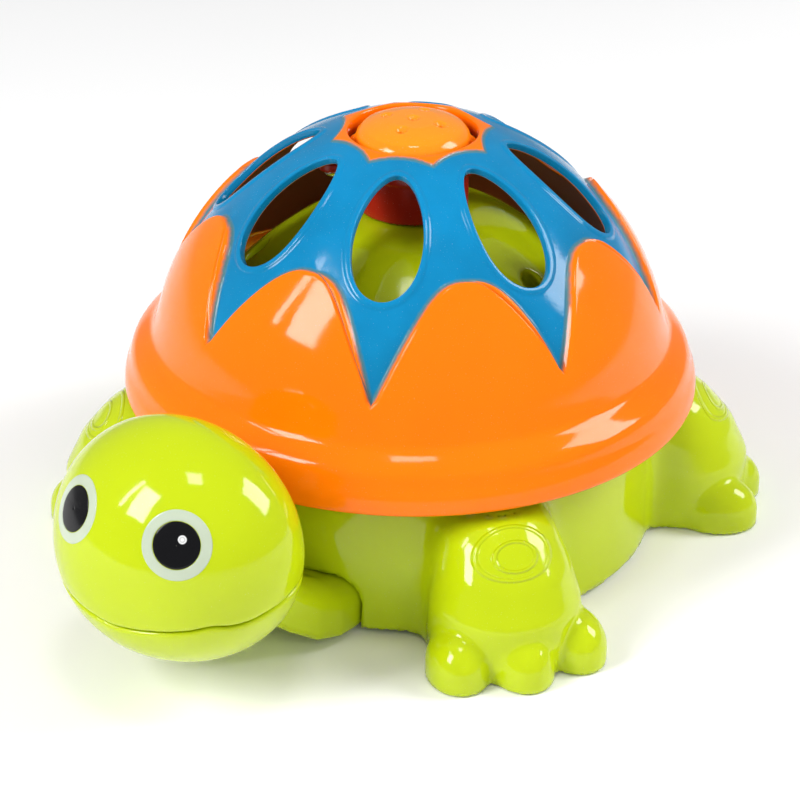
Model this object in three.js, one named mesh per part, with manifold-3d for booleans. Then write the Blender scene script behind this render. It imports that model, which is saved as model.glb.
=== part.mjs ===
// Turtle lawn sprinkler: a spinning dome shell over a four-legged body, fed from a hose at the tail.
// Millimetres, +Z up, head towards -Y, spin axis vertical.
// Angles are measured from the head direction, in degrees.
import * as THREE from 'three';
import Module from 'manifold-3d';
import { mergeVertices } from 'three/addons/utils/BufferGeometryUtils.js';

const wasm = await Module();
wasm.setup();

// Driving dimensions
const wall = 2.2; // moulded wall thickness
const gap = 0.3; // clearance between pieces that meet
const rimHeight = 47; // underside of the shell rim above the ground
const sectors = 8; // windows, tongues and star points round the shell
const sectorAngle = 360 / sectors;
const roundSteps = 56; // facets round the shell, a multiple of the sectors

const shell = {
  holeRadius: 19.6, // opening for the spray cap
  tongueRise: 2.3, // orange tongues stand proud of the painted dome
  tongueTopHeight: 58.5, // above the rim
  toothTipHeights: [28.5, 32.5], // long and short teeth alternate
  archPowers: [2.2, 3.2], // a tongue's arch is fuller on its far side
  turn: 2, // the shell's rest angle, in degrees
  windowInner: 28.2,
  windowOuter: 60.2,
  windowHalfWidth: 10.1,
  windowFlare: 0.28, // wider at the outer end
  beadWidth: 1.9,
  beadRise: 0.7,
  starPointRadius: 24.8,
  starValleyRadius: 21.2,
  starPower: 2.2,
  starRise: 0.6,
};

const body = {
  floorGap: 1, // lower edge of the belly above the ground
  deckTop: 105, // flat seat under the rotor
  riserHole: 8,
  archHalfWidth: 29,
  archHeight: 18,
  archCorner: 9,
};

const leg = {
  angles: [52, 129, -129, -52],
  toeSpread: 10.6, // degrees between toes
  toeReach: 98.4,
  middleToeReach: 2.5, // the middle toe stands further out
  toeHeight: 4.5,
  hollowTop: 45,
  toeRadii: [12.4, 8.2, 9.6], // along, across, up
  ringRadius: 11, // raised ring on the leg's slope
  ringBand: 0.8,
  ringAspect: 0.72, // lower than it is wide
  ringTilt: 47,
  ringOut: 94.2,
  ringHeight: 36,
};

const head = {
  centreY: -117.5,
  centreZ: 46.5,
  radii: [38.2, 32, 35.6],
  rearDepth: 26.4, // the back of the head is flatter than the face
  mouthZ: 39.6, // the parting line between head and jaw, under the head's middle
  mouthTilt: 11.3, // it rises towards the rear
  wall: 2.4,
  eyeRadius: 9.8,
  pupilRadius: 6.7,
  eyeX: 17,
  eyeY: -141.1,
  eyeZ: 60.9,
  eyeDepth: 0.8,
  snoutFill: 0.1,
  jawFill: 0.05,
  bossRadius: 5.2,
  screwSeat: 27,
};

const water = {
  pipeRadius: 7,
  boreRadius: 4.5,
  inletHeight: 20,
  riserTop: 118.5,
};

const rotor = {
  radius: 17,
  bottom: 105.8,
  top: 122,
  flangeRadius: 20,
  lugRadius: 4.6,
  screwCircle: 24.4,
  screwAngles: [45, 135, 225, 315],
};

const nut = {
  radius: 16.5,
  socketRadius: 13,
  start: 86,
  end: 110,
  ribs: 12,
  fluteRadius: 1.1,
};

const colours = {
  lime: 0xc9e61e,
  orange: 0xff870c,
  white: 0xe9f0e6,
  black: 0x101214,
  red: 0xd0321c,
  steel: 0xb9bcc0,
  seal: 0x26282b,
  pale: 0xd7dad6,
};

// Solids
const group = new THREE.Group();
group.name = 'turtle_sprinkler';

const radians = (degrees) => (degrees * Math.PI) / 180;

// Unit vector in the ground plane at an angle from the head direction.
const heading = (degrees) => new THREE.Vector3(Math.sin(radians(degrees)), -Math.cos(radians(degrees)), 0);

// Closed three.js geometry to a solid that can be added and cut.
function solid(geometry) {
  const flat = geometry.clone();
  flat.deleteAttribute('normal');
  flat.deleteAttribute('uv');
  const merged = mergeVertices(flat, 1e-4);
  const position = merged.attributes.position.array;
  const index = [];
  let volume = 0;
  for (let i = 0; i < merged.index.count; i += 3) {
    const [a, b, c] = [0, 1, 2].map((k) => merged.index.array[i + k]);
    if (a === b || b === c || c === a) continue;
    index.push(a, b, c);
    const [p, q, r] = [a, b, c].map((k) => new THREE.Vector3().fromArray(position, 3 * k));
    volume += p.dot(q.cross(r));
  }
  if (volume < 0) index.reverse();
  const vertProperties = new Float32Array(position);
  const triVerts = new Uint32Array(index);
  return new wasm.Manifold(new wasm.Mesh({ numProp: 3, vertProperties, triVerts }));
}

// Solid of revolution about the vertical axis; its [radius, height] points start and end on the axis, or close.
function turned(points, segments = 32) {
  const profile = points.map(([r, z]) => new THREE.Vector2(r, z));
  return solid(new THREE.LatheGeometry(profile, segments).rotateX(Math.PI / 2));
}

// Ring or tube: a closed rectangle section turned about the vertical axis.
const tube = (inner, outer, low, high, segments = 32) =>
  turned([[inner, low], [outer, low], [outer, high], [inner, high], [inner, low]], segments);

const rod = (radius, low, high, segments = 24) =>
  turned([[0, low], [radius, low], [radius, high], [0, high]], segments);

// Turns a solid built about +Z so that it lies along +Y, with its heights becoming distances to the rear.
const alongRear = (item, height) => item.rotate([-90, 0, 0]).translate([0, 0, height]);

// Upright prism over a closed outline of [x, y] points.
function prism(points, low, high) {
  const outline = new THREE.Shape(points.map(([x, y]) => new THREE.Vector2(x, y)));
  const geometry = new THREE.ExtrudeGeometry(outline, { depth: high - low, bevelEnabled: false });
  return solid(geometry).translate([0, 0, low]);
}

const addAll = (items) => items.reduce((sum, item) => sum.add(item));
const cutAll = (start, items) => items.reduce((left, item) => left.subtract(item), start);

function place(name, item, colour, roughness = 0.25, metalness = 0) {
  const found = item.asOriginal().simplify(0.05).getMesh();
  const geometry = new THREE.BufferGeometry();
  geometry.setAttribute('position', new THREE.BufferAttribute(new Float32Array(found.vertProperties), 3));
  geometry.setIndex(new THREE.BufferAttribute(new Uint32Array(found.triVerts), 1));
  geometry.translate(0, originShift, 0);
  geometry.computeVertexNormals();
  const material = new THREE.MeshStandardMaterial({ color: colour, roughness, metalness });
  const mesh = new THREE.Mesh(geometry, material);
  mesh.name = name;
  group.add(mesh);
}

// Head form: an egg that is fuller low down at the front, where the snout is.
function headForm(grow, across = 32, down = 20) {
  const shape = new THREE.SphereGeometry(1, across, down).rotateX(Math.PI / 2);
  const spots = shape.attributes.position;
  for (let i = 0; i < spots.count; i += 1) {
    const [x, y, z] = [spots.getX(i), spots.getY(i), spots.getZ(i)];
    const snout = 1 + head.snoutFill * Math.max(0, -y) * Math.max(0, 0.45 - z);
    const depth = y > 0 ? head.rearDepth : head.radii[1];
    const jaw = 1 + head.jawFill * Math.max(0, -z) * Math.max(0, -y);
    spots.setXYZ(
      i,
      x * (head.radii[0] + grow) * jaw,
      y * (depth + grow) * snout + head.centreY,
      z * (head.radii[2] + grow) + head.centreZ,
    );
  }
  return solid(shape);
}

// The origin sits under the middle of the whole length, so the spin axis is a little behind it.
const headOuter = headForm(0);
const originShift = (-headOuter.boundingBox().min[1] - nut.end) / 2;

// Shell
// Outer faces as [radius, height above the rim].
const skirtOuter = [
  [88.8, 0], [88.8, 2.8], [87.7, 8], [86.6, 11], [85.1, 13], [81, 16.6], [77.4, 24],
];
const paintedOuter = [
  [74.8, 26.4], [72.4, 33], [69.2, 40.5], [64.9, 48], [59.2, 55.4], [51.8, 63.8],
  [43.2, 71], [33, 77.5], [23.6, 81.6],
];
const shellTop = 82.8;

// Radius of the painted dome at a height above the rim, read from its section.
function radiusAt(height) {
  const line = [...paintedOuter].sort((p, q) => p[1] - q[1]);
  for (let i = 0; i + 1 < line.length; i += 1) {
    const [[r0, z0], [r1, z1]] = [line[i], line[i + 1]];
    if (height <= z1) return r0 + ((r1 - r0) * (height - z0)) / (z1 - z0);
  }
  return line.at(-1)[0];
}

// A section moved outwards by a distance, square to the line.
function offsetLine(line, distance) {
  return line.map(([r, z], i) => {
    const before = line[Math.max(i - 1, 0)];
    const after = line[Math.min(i + 1, line.length - 1)];
    const run = Math.hypot(after[0] - before[0], after[1] - before[1]);
    return [r + ((after[1] - before[1]) / run) * distance, z - ((after[0] - before[0]) / run) * distance];
  });
}

// Closed skin between two sections of the shell.
function skin(outer, inner) {
  const loop = [...outer, ...[...inner].reverse(), outer[0]];
  return turned(loop.map(([r, z]) => [r, z + rimHeight]), roundSteps);
}

function windowOutline(angle, grow) {
  const points = [];
  const count = 20;
  const middle = (shell.windowInner + shell.windowOuter) / 2;
  const half = (shell.windowOuter - shell.windowInner) / 2;
  const along = heading(angle);
  const across = heading(angle + 90);
  for (let i = 0; i < count; i += 1) {
    const turn = (2 * Math.PI * i) / count;
    const lengthwise = Math.cos(turn);
    const width = shell.windowHalfWidth * (1 + shell.windowFlare * lengthwise) + grow;
    const spot = along.clone().multiplyScalar(middle + (half + grow) * lengthwise);
    spot.addScaledVector(across, width * Math.sin(turn));
    points.push([spot.x, spot.y]);
  }
  return points;
}

// Outline of the painted field: long and short teeth between the arched tongue tops.
function fieldOutline() {
  const points = [];
  const steps = 8;
  for (let k = 0; k < sectors; k += 1) {
    for (let i = 0; i < steps; i += 1) {
      const part = (2 * i) / steps - 1;
      const tip = shell.toothTipHeights[(k + (part < 0 ? 1 : 0)) % 2];
      const fall = Math.abs(part) ** shell.archPowers[part < 0 ? 0 : 1];
      const height = shell.tongueTopHeight - (shell.tongueTopHeight - tip) * fall;
      const spot = heading((k + part / 2) * sectorAngle + shell.turn).multiplyScalar(radiusAt(height));
      points.push([spot.x, spot.y]);
    }
  }
  return points;
}

function starOutline() {
  const points = [];
  const steps = 6;
  for (let i = 0; i < sectors * steps; i += 1) {
    const part = Math.abs(((i % steps) / steps) * 2 - 1);
    const rise = shell.starPointRadius - shell.starValleyRadius;
    const radius = shell.starValleyRadius + rise * part ** shell.starPower;
    const spot = heading((i / steps) * sectorAngle + shell.turn).multiplyScalar(radius);
    points.push([spot.x, spot.y]);
  }
  return points;
}

const windowAngles = [...Array(sectors).keys()].map((k) => (k + 0.5) * sectorAngle + shell.turn);
const domeOuter = [...skirtOuter, ...paintedOuter, [shell.holeRadius, shellTop]];
const domeInner = [
  [skirtOuter[0][0] - wall, 0],
  ...offsetLine(domeOuter, -wall).filter((point, i) => i % 2 === 0 && i > 1),
  [shell.holeRadius, shellTop - wall],
];
const domeSkin = skin(domeOuter, domeInner);

const tongueLine = [...skirtOuter.slice(-2), ...paintedOuter.slice(0, 6)];
const tongueOuter = offsetLine(tongueLine, shell.tongueRise).map((point, i) =>
  i < 2 ? skirtOuter[skirtOuter.length - 2 + i] : point);
const tongueLayer = skin(tongueOuter, offsetLine(tongueLine, -wall / 2));
const tongues = tongueLayer.subtract(prism(fieldOutline(), rimHeight, rimHeight + 100));

const beadLine = paintedOuter.slice(2);
const beadLayer = skin(offsetLine(beadLine, shell.beadRise), offsetLine(beadLine, -wall / 2));
const beads = addAll(windowAngles.map((a) =>
  prism(windowOutline(a, shell.beadWidth), rimHeight, rimHeight + 100)));

const starLine = [paintedOuter.at(-2), paintedOuter.at(-1), [shell.holeRadius, shellTop]];
const starLayer = skin(offsetLine(starLine, shell.starRise), offsetLine(starLine, -wall / 2));
const star = starLayer.intersect(prism(starOutline(), rimHeight, rimHeight + 100));

const bossLow = rotor.top + gap;
const bossHigh = rimHeight + shellTop - 1.4;
const shellBosses = rotor.screwAngles.map((a) => {
  const spot = heading(a).multiplyScalar(rotor.screwCircle);
  const boss = rod(3.2, bossLow, bossHigh, 16).subtract(rod(1.3, bossLow - 1, bossHigh - 1.4, 12));
  return boss.translate([spot.x, spot.y, 0]);
});

const cutBelowDome = skin(
  [...domeOuter.map(([r, z]) => [r, z + 20])],
  [...domeOuter.map(([r, z]) => [r, z - 0.01])],
);
let turtleShell = addAll([domeSkin, tongues, beadLayer.intersect(beads), star]);
turtleShell = turtleShell.add(addAll(shellBosses).subtract(cutBelowDome));
turtleShell = cutAll(turtleShell, windowAngles.map((a) =>
  prism(windowOutline(a, 0), rimHeight, rimHeight + 100)));
turtleShell = turtleShell.subtract(rod(shell.holeRadius, rimHeight + 60, rimHeight + 100, roundSteps));
place('turtle_shell', turtleShell, colours.orange, 0.22);

// Spray cap, rotor and bearing
const capRadius = 17.2;
const capBottom = rotor.top + gap;
const capDome = [[capRadius, 127.2], [16.6, 129.2], [14.4, 131], [11.6, 132.4], [7.6, 133.4], [0, 133.8]];
const capSolid = turned([[0, capBottom], [capRadius, capBottom], ...capDome], 32);
const capHollow = turned([
  [0, capBottom - 1], [capRadius - 2, capBottom - 1], [capRadius - 2, 127.6], [11, 130.2], [0, 131.6],
], 24);
const sprayAngles = [10, 100, 190, 280];
const sprayHole = () =>
  rod(0.9, 120, 140, 8).add(turned([[0, 132.4], [0.9, 132.4], [2.2, 134], [2.2, 137], [0, 137]], 8));
const sprayHoles = sprayAngles.map((a) => {
  const spot = heading(a).multiplyScalar(9);
  return sprayHole().translate([spot.x, spot.y, -1]);
});
const capLugs = [123, -57].map((a) => {
  const spot = heading(a).multiplyScalar(17.2);
  return solid(new THREE.SphereGeometry(1.9, 12, 8)).translate([spot.x, spot.y, 126]);
});
const sprayCap = cutAll(addAll([capSolid, ...capLugs]), [capHollow, sprayHole(), ...sprayHoles]);
place('spray_cap', sprayCap, colours.orange, 0.22);

const rotorSection = [
  [13.8, rotor.bottom], [rotor.radius, rotor.bottom], [rotor.radius, 118.6], [rotor.flangeRadius, 119.4],
  [rotor.flangeRadius, rotor.top], [12, rotor.top], [12, 118.4], [7.3, 118.4], [7.3, 117.6], [9.9, 117.6],
  [9.9, 115], [7.3, 115], [7.3, 113.6], [11, 113.6], [11, 109.8], [13.8, 109.8], [13.8, rotor.bottom],
];
const rotorLugs = rotor.screwAngles.map((a) => {
  const spot = heading(a).multiplyScalar(rotor.screwCircle);
  return rod(rotor.lugRadius, 119.4, rotor.top, 12).translate([spot.x, spot.y, 0]);
});
const screwClearance = rotor.screwAngles.map((a) => {
  const spot = heading(a).multiplyScalar(rotor.screwCircle);
  return rod(1.8, 110, 130, 10).translate([spot.x, spot.y, 0]);
});
const rotorCore = turned(rotorSection, 24);
const rotorArms = addAll(rotorLugs).subtract(rod(rotor.flangeRadius - 1, 110, 130, 32));
place('rotor_hub', cutAll(rotorCore.add(rotorArms), screwClearance), colours.red, 0.3);
place('rotor_retainer', tube(7.4, 13.5, 106.3, 109.5, 24), colours.pale, 0.4);
place('thrust_washer', tube(7.4, 10.4, 112.3, 113.3, 24), colours.pale, 0.3);
const sealRing = new THREE.TorusGeometry(8.5, 1.05, 8, 20);
place('seal_ring', solid(sealRing).translate([0, 0, 116.3]), colours.seal, 0.6);

// Self-tapping screw pointing up, its head's underside at the origin.
function screw(headRadius, shankRadius, length) {
  const shape = turned([
    [0, -2], [headRadius * 0.7, -2], [headRadius, -1.2], [headRadius, 0], [shankRadius, 0],
    [shankRadius, length - 1.4], [0, length],
  ], 12);
  return shape.subtract(solid(new THREE.BoxGeometry(headRadius * 1.2, 0.8, 1.6)).translate([0, 0, -2]));
}

rotor.screwAngles.forEach((a, i) => {
  const spot = heading(a).multiplyScalar(rotor.screwCircle);
  const item = screw(2.8, 1.05, 5.6).translate([spot.x, spot.y, 119.4 - gap]);
  place(`shell_screw_${i + 1}`, item, colours.steel, 0.3, 0.9);
});

// Neck form
// Neck as a run of rounded sections: [distance forward, half width, low edge, high edge].
const neckSections = [
  [58, 28.4, 2.4, 17.4], [72, 28.4, 2.4, 17.4], [78, 27.6, 3.2, 19], [86, 25, 6.4, 23],
  [94, 21.5, 11, 29], [101, 18, 15.5, 34],
];

function neckBlock(grow) {
  const count = 28;
  const profile = [[0, 0], ...neckSections.map((row, i) => [1, i]), [0, neckSections.length - 1]];
  const shape = new THREE.LatheGeometry(profile.map(([x, y]) => new THREE.Vector2(x, y)), count);
  const spots = shape.attributes.position;
  for (let i = 0; i < spots.count; i += 1) {
    const [forward, width, low, high] = neckSections[Math.round(spots.getY(i))];
    const [x, z] = [spots.getX(i), spots.getZ(i)];
    const square = Math.max(Math.abs(x), Math.abs(z), 1e-6);
    const reach = Math.hypot(x, z);
    const fill = reach < 1e-6 ? 0 : (reach / square) ** 0.62 * reach;
    const scale = reach < 1e-6 ? 0 : fill / reach;
    const height = (low + high) / 2 + z * scale * ((high - low) / 2 + grow);
    spots.setXYZ(i, x * scale * (width + grow), -forward, height);
  }
  return solid(shape);
}

// Body
const bodySection = [
  [76.6, body.floorGap], [75.8, 24], [74.2, 38], [72, 47], [69, 58], [63.4, 70], [56.4, 79], [48.6, 86.6],
  [40.4, 93.4], [33.2, 98.6], [26.6, 102.4], [19.6, 104.6], [17, body.deckTop],
];
const bodyOuter = turned([[0, body.floorGap], ...bodySection, [0, body.deckTop]], 40);
const bodyInner = turned([
  [0, -1],
  [bodySection[0][0] - wall, -1],
  ...offsetLine(bodySection, -wall).filter((point, i) => i % 2 === 1),
  [0, body.deckTop - wall],
], 40);

// Leg as a stack of ovals: [height, distance out, half depth, half width].
const legSections = [
  [0, 87.5, 23, 23.6], [8, 88.3, 24, 24.6], [18, 87, 21.6, 22.4], [29, 83.6, 18, 19],
  [38, 79.8, 14.6, 15.8], [43, 78, 10.4, 12], [45.2, 77, 5.4, 7],
];

function legBlock(angle, shrink) {
  const used = legSections.filter((row, i) => !shrink || i % 2 === 0);
  const rows = used.map(([z, out, depth, width]) =>
    [Math.min(z, leg.hollowTop - shrink), out, depth - shrink, width - shrink]);
  rows[0][0] = shrink ? -1 : 0;
  const profile = [[0, 0], ...rows.map((row, i) => [1, i]), [0, rows.length - 1]];
  const section = profile.map(([x, y]) => new THREE.Vector2(x, y));
  const shape = new THREE.LatheGeometry(section, 20).rotateX(Math.PI / 2);
  const spots = shape.attributes.position;
  for (let i = 0; i < spots.count; i += 1) {
    const [z, out, depth, width] = rows[Math.round(spots.getZ(i))];
    spots.setXYZ(i, spots.getX(i) * width, -out + spots.getY(i) * depth, z);
  }
  const toes = (shrink ? [] : [-1, 0, 1]).map((k) => {
    const [along, across, up] = leg.toeRadii;
    const ball = solid(new THREE.SphereGeometry(1, 12, 8)).scale([across, along, up]);
    const reach = leg.toeReach + (k === 0 ? leg.middleToeReach : 0);
    return ball.translate([0, -reach, leg.toeHeight]).rotate([0, 0, k * leg.toeSpread]);
  });
  const floorCut = solid(new THREE.BoxGeometry(400, 400, 40)).translate([0, 0, -20 - (shrink ? 1 : 0)]);
  return addAll([solid(shape), ...toes]).subtract(floorCut).rotate([0, 0, angle]);
}

// Two plain raised rings, one inside the other, on the outward slope of a leg.
function ringPair(angle) {
  const outer = solid(new THREE.TorusGeometry(leg.ringRadius, leg.ringBand, 5, 20));
  const inner = solid(new THREE.TorusGeometry(leg.ringRadius / 2, leg.ringBand, 5, 12));
  const upright = outer.add(inner).scale([1, leg.ringAspect, 1]).rotate([leg.ringTilt, 0, 0]);
  return upright.translate([0, -leg.ringOut, leg.ringHeight]).rotate([0, 0, angle]);
}

// Arched opening in the front wall, for the neck.
function archBlock(grow, front, rear) {
  const width = body.archHalfWidth + grow;
  const top = body.archHeight + grow;
  const corner = body.archCorner + grow;
  const outline = new THREE.Shape();
  outline.moveTo(-width, -1);
  outline.lineTo(width, -1);
  outline.lineTo(width, top - corner);
  outline.absarc(width - corner, top - corner, corner, 0, Math.PI / 2, false);
  outline.lineTo(-width + corner, top);
  outline.absarc(-width + corner, top - corner, corner, Math.PI / 2, Math.PI, false);
  outline.lineTo(-width, -1);
  const settings = { depth: rear - front, bevelEnabled: false, curveSegments: 6 };
  const shape = new THREE.ExtrudeGeometry(outline, settings);
  return solid(shape.rotateX(Math.PI / 2)).translate([0, rear, 0]);
}

const basePostSpots = [40, 140, -140, -40].map((a) => heading(a).multiplyScalar(57));
const deckScrewSpots = [[90, 43.2], [-64, 47.8]].map(([a, r]) => heading(a).multiplyScalar(r));
const deckScrewSeat = 74; // floor of the screw recesses in the deck
const deckCupRadius = 5.2;
const plateLow = 4; // belly plate, set up inside the lower edge
const plateTop = plateLow + 2.4;
const screwPost = (spot) =>
  rod(4.2, plateTop + gap, 100, 12).subtract(rod(1.4, 4, 18, 8)).translate([spot.x, spot.y, 0]);
const legBlocks = leg.angles.map((a) => legBlock(a, 0));
const legHollows = leg.angles.map((a) => legBlock(a, wall));
const ringPairs = leg.angles.map(ringPair);
const outerForm = addAll([bodyOuter, ...legBlocks, ...ringPairs]);
const hollowForm = addAll([bodyInner, ...legHollows]);
const posts = addAll(basePostSpots.map(screwPost)).intersect(bodyOuter);
const deckCup = rod(deckCupRadius, deckScrewSeat - 2, 110, 16);
const deckRecess = rod(deckCupRadius - 1.8, deckScrewSeat, 120, 16).add(rod(1.7, 60, 120, 10));
const atDeck = (item) => deckScrewSpots.map((spot) => item.translate([spot.x, spot.y, 0]));
const deckCups = addAll(atDeck(deckCup)).intersect(bodyOuter);
const bodyTop = cutAll(addAll([outerForm.subtract(hollowForm), posts, deckCups]), [
  archBlock(0, -110, -60),
  neckBlock(gap),
  rod(body.riserHole, 90, 120, 32),
  alongRear(rod(9.4, 60, 90, 32), water.inletHeight),
  ...atDeck(deckRecess),
]);
place('body_top', bodyTop, colours.lime, 0.25);

// Belly plate, cut straight across at the front where the neck's tab lies.
const plateDisc = rod(bodySection[0][0] - wall - 3 * gap, plateLow, plateTop, 40);
const plateFront = solid(new THREE.BoxGeometry(200, 60, 20)).translate([0, -87.6, 3]);
const neckTabSpots = [[-14, -46], [14, -46]];
const plateHoles = [...basePostSpots.map((s) => [s.x, s.y]), ...neckTabSpots].map(([x, y]) =>
  rod(1.9, 0, 10, 12).translate([x, y, 0]));
// Two tall posts rise from the plate to the deck screws.
const tallPostTop = deckScrewSeat - 2 - gap;
const tallPost = rod(4.2, plateLow + 1, tallPostTop, 16).subtract(rod(1.4, deckScrewSeat - 16, 100, 8));
const plate = cutAll(plateDisc, [plateFront, ...plateHoles]);
place('base_plate', addAll([plate, ...atDeck(tallPost)]), colours.lime, 0.35);
deckScrewSpots.forEach((spot, i) => {
  const item = screw(2.9, 1.1, 11).rotate([180, 0, 0]).translate([spot.x, spot.y, deckScrewSeat + gap]);
  place(`deck_screw_${i + 1}`, item, colours.steel, 0.3, 0.9);
});
basePostSpots.forEach((spot, i) => {
  const item = screw(3.2, 1.1, 11).translate([spot.x, spot.y, plateLow - gap]);
  place(`base_screw_${i + 1}`, item, colours.steel, 0.3, 0.9);
});

// Neck and head
// Everything above (side 1) or below (side -1) the tilted parting plane, set back from it by a gap.
function beyondMouth(side, back) {
  const size = 200;
  const block = solid(new THREE.BoxGeometry(size, size, size)).translate([0, 0, side * (size / 2 + back)]);
  return block.rotate([head.mouthTilt, 0, 0]).translate([0, head.centreY, head.mouthZ]);
}

const headHollow = headForm(-head.wall, 20, 12);
const headSkin = headOuter.subtract(headHollow);
const neckHole = neckBlock(gap);
const jawScrewSpots = [[-15, -128], [15, -128]];
const jawBosses = addAll(jawScrewSpots.map(([x, y]) =>
  rod(head.bossRadius, 5, 100, 16).translate([x, y, 0]))).intersect(headOuter);
const jawPilots = jawScrewSpots.map(([x, y]) => rod(1.4, 5, head.screwSeat + 19, 12).translate([x, y, 0]));

// Pocket for an eye, square to the head's face there.
function eyeColumn(side, radius, segments) {
  const spot = new THREE.Vector3(side * head.eyeX, head.eyeY, head.eyeZ);
  const centre = new THREE.Vector3(0, head.centreY, head.centreZ);
  const squares = new THREE.Vector3(...head.radii.map((r) => r * r));
  const normal = spot.clone().sub(centre).divide(squares).normalize();
  const turn = new THREE.Quaternion().setFromUnitVectors(new THREE.Vector3(0, 1, 0), normal);
  const shape = new THREE.CylinderGeometry(radius, radius, 24, segments).applyQuaternion(turn);
  return solid(shape.translate(spot.x, spot.y, spot.z));
}

const sides = [['left', 1], ['right', -1]];
const eyeFloor = headForm(-head.eyeDepth);
const pocketColumns = sides.map(([, side]) => eyeColumn(side, head.eyeRadius + gap, 24));
const eyePockets = addAll(pocketColumns).subtract(eyeFloor);
const upperParts = headSkin.add(jawBosses).intersect(beyondMouth(1, gap));
place('head_upper', cutAll(upperParts, [neckHole, eyePockets, ...jawPilots]), colours.lime, 0.22);
const jawPart = headSkin.add(jawBosses).intersect(beyondMouth(-1, 0));
const jawClear = jawScrewSpots.flatMap(([x, y]) =>
  [rod(1.8, 0, 60, 12), rod(3.6, 0, head.screwSeat + gap, 16)].map((item) => item.translate([x, y, 0])));
place('lower_jaw', cutAll(jawPart, [neckHole, ...jawClear]), colours.lime, 0.22);
jawScrewSpots.forEach(([x, y], i) => {
  place(`jaw_screw_${i + 1}`, screw(3, 1.1, 14).translate([x, y, head.screwSeat]), colours.steel, 0.3, 0.9);
});

sides.forEach(([name, side]) => {
  const face = headForm(0.1).subtract(headForm(gap - head.eyeDepth));
  const disc = face.intersect(eyeColumn(side, head.eyeRadius, 24));
  const white = disc.subtract(eyeColumn(side, head.pupilRadius + gap / 2, 20));
  place(`${name}_eye_white`, white, colours.white, 0.2);
  const pupil = face.intersect(eyeColumn(side, head.pupilRadius, 20));
  place(`${name}_eye_pupil`, pupil, colours.black, 0.15);
});

// The neck carries a flat tab that lies on the belly plate.
const tab = solid(new THREE.BoxGeometry(44, 24, 3)).translate([0, -50, plateTop + gap + 1.5]);
const tabHoles = neckTabSpots.map(([x, y]) => rod(1.3, 0, 8.9, 12).translate([x, y, 0]));
const neckCore = neckBlock(0);
const neck = cutAll(neckCore.add(tab), tabHoles);
place('neck', neck, colours.lime, 0.24);
neckTabSpots.forEach(([x, y], i) => {
  const item = screw(3.2, 1.1, 4.6).translate([x, y, plateLow - gap]);
  place(`neck_screw_${i + 1}`, item, colours.steel, 0.3, 0.9);
});

// Water path
const riserSection = [
  [water.boreRadius, 27], [water.pipeRadius, 27], [water.pipeRadius, 98.5], [12, 98.5], [12, 101.5],
  [water.pipeRadius, 101.5], [water.pipeRadius, 110], [10.4, 110], [10.4, 112], [water.pipeRadius, 112],
  [water.pipeRadius, water.riserTop],
  [water.boreRadius, water.riserTop], [water.boreRadius, 27],
];
place('riser_tube', turned(riserSection, 20), colours.pale, 0.35);

const cup = rod(10, 11, 40, 20);
const run = alongRear(rod(water.pipeRadius, 0, 62, 20), water.inletHeight);
const elbow = cutAll(cup.add(run), [
  rod(water.boreRadius, water.inletHeight, 41, 16),
  rod(water.pipeRadius + gap, 27 - gap, 41, 20),
  alongRear(rod(water.boreRadius, 0, 63, 16), water.inletHeight),
]);
place('inlet_elbow', elbow, colours.pale, 0.35);

const adapterSection = [
  [water.pipeRadius + gap, 50], [9, 50], [9, 77.4], [13, 77.4], [13, 80.2], [9, 80.2], [9, 95],
  [11.6, 95], [11.6, 98], [water.boreRadius, 98], [water.boreRadius, 62 + gap],
  [water.pipeRadius + gap, 62 + gap], [water.pipeRadius + gap, 50],
];
place('inlet_adapter', alongRear(turned(adapterSection, 24), water.inletHeight), colours.orange, 0.3);

const nutCore = turned([
  [9.5, nut.start], [nut.radius - 1.2, nut.start], [nut.radius, nut.start + 1.2],
  [nut.radius, nut.end - 1.2], [nut.radius - 0.8, nut.end], [nut.socketRadius, nut.end],
  [nut.socketRadius, 94.4], [9.5, 94.4], [9.5, nut.start],
], 24);
const nutGrooves = [...Array(nut.ribs).keys()].map((k) =>
  rod(nut.fluteRadius, nut.start + 3, nut.end - 3, 8)
    .translate([nut.radius + 0.4, 0, 0])
    .rotate([0, 0, (360 / nut.ribs) * k]));
place('swivel_nut', alongRear(cutAll(nutCore, nutGrooves), water.inletHeight), colours.orange, 0.35);
place('hose_washer', alongRear(tube(5.2, 12.4, 98.3, 101, 24), water.inletHeight), colours.seal, 0.7);

export default group;
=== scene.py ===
import bpy
import math
import numpy as np
from mathutils import Matrix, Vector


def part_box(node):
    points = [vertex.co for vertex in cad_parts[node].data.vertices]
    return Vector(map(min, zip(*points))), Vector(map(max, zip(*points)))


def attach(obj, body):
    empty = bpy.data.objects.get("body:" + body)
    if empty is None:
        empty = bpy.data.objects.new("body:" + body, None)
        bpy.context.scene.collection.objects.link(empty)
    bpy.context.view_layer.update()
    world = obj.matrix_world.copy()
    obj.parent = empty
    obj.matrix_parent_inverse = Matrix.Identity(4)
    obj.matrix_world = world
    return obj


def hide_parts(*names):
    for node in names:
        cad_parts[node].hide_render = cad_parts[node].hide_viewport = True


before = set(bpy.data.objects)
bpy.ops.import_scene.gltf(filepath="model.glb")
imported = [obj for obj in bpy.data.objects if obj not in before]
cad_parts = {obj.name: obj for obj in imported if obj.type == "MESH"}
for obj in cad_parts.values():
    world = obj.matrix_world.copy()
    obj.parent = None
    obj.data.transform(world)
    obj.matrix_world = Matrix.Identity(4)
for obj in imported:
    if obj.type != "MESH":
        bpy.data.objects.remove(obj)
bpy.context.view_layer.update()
shellLow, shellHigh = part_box("turtle_shell")
axisY = 500 * (shellLow.y + shellHigh.y)  # the spin axis, in millimetres behind the origin
rimZ = 1000 * shellLow.z  # underside of the shell rim
coarse = 1.0  # trial runs use larger cells

# Shapes are worked out in millimetres about the spin axis and put into the meshes in metres.



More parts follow.
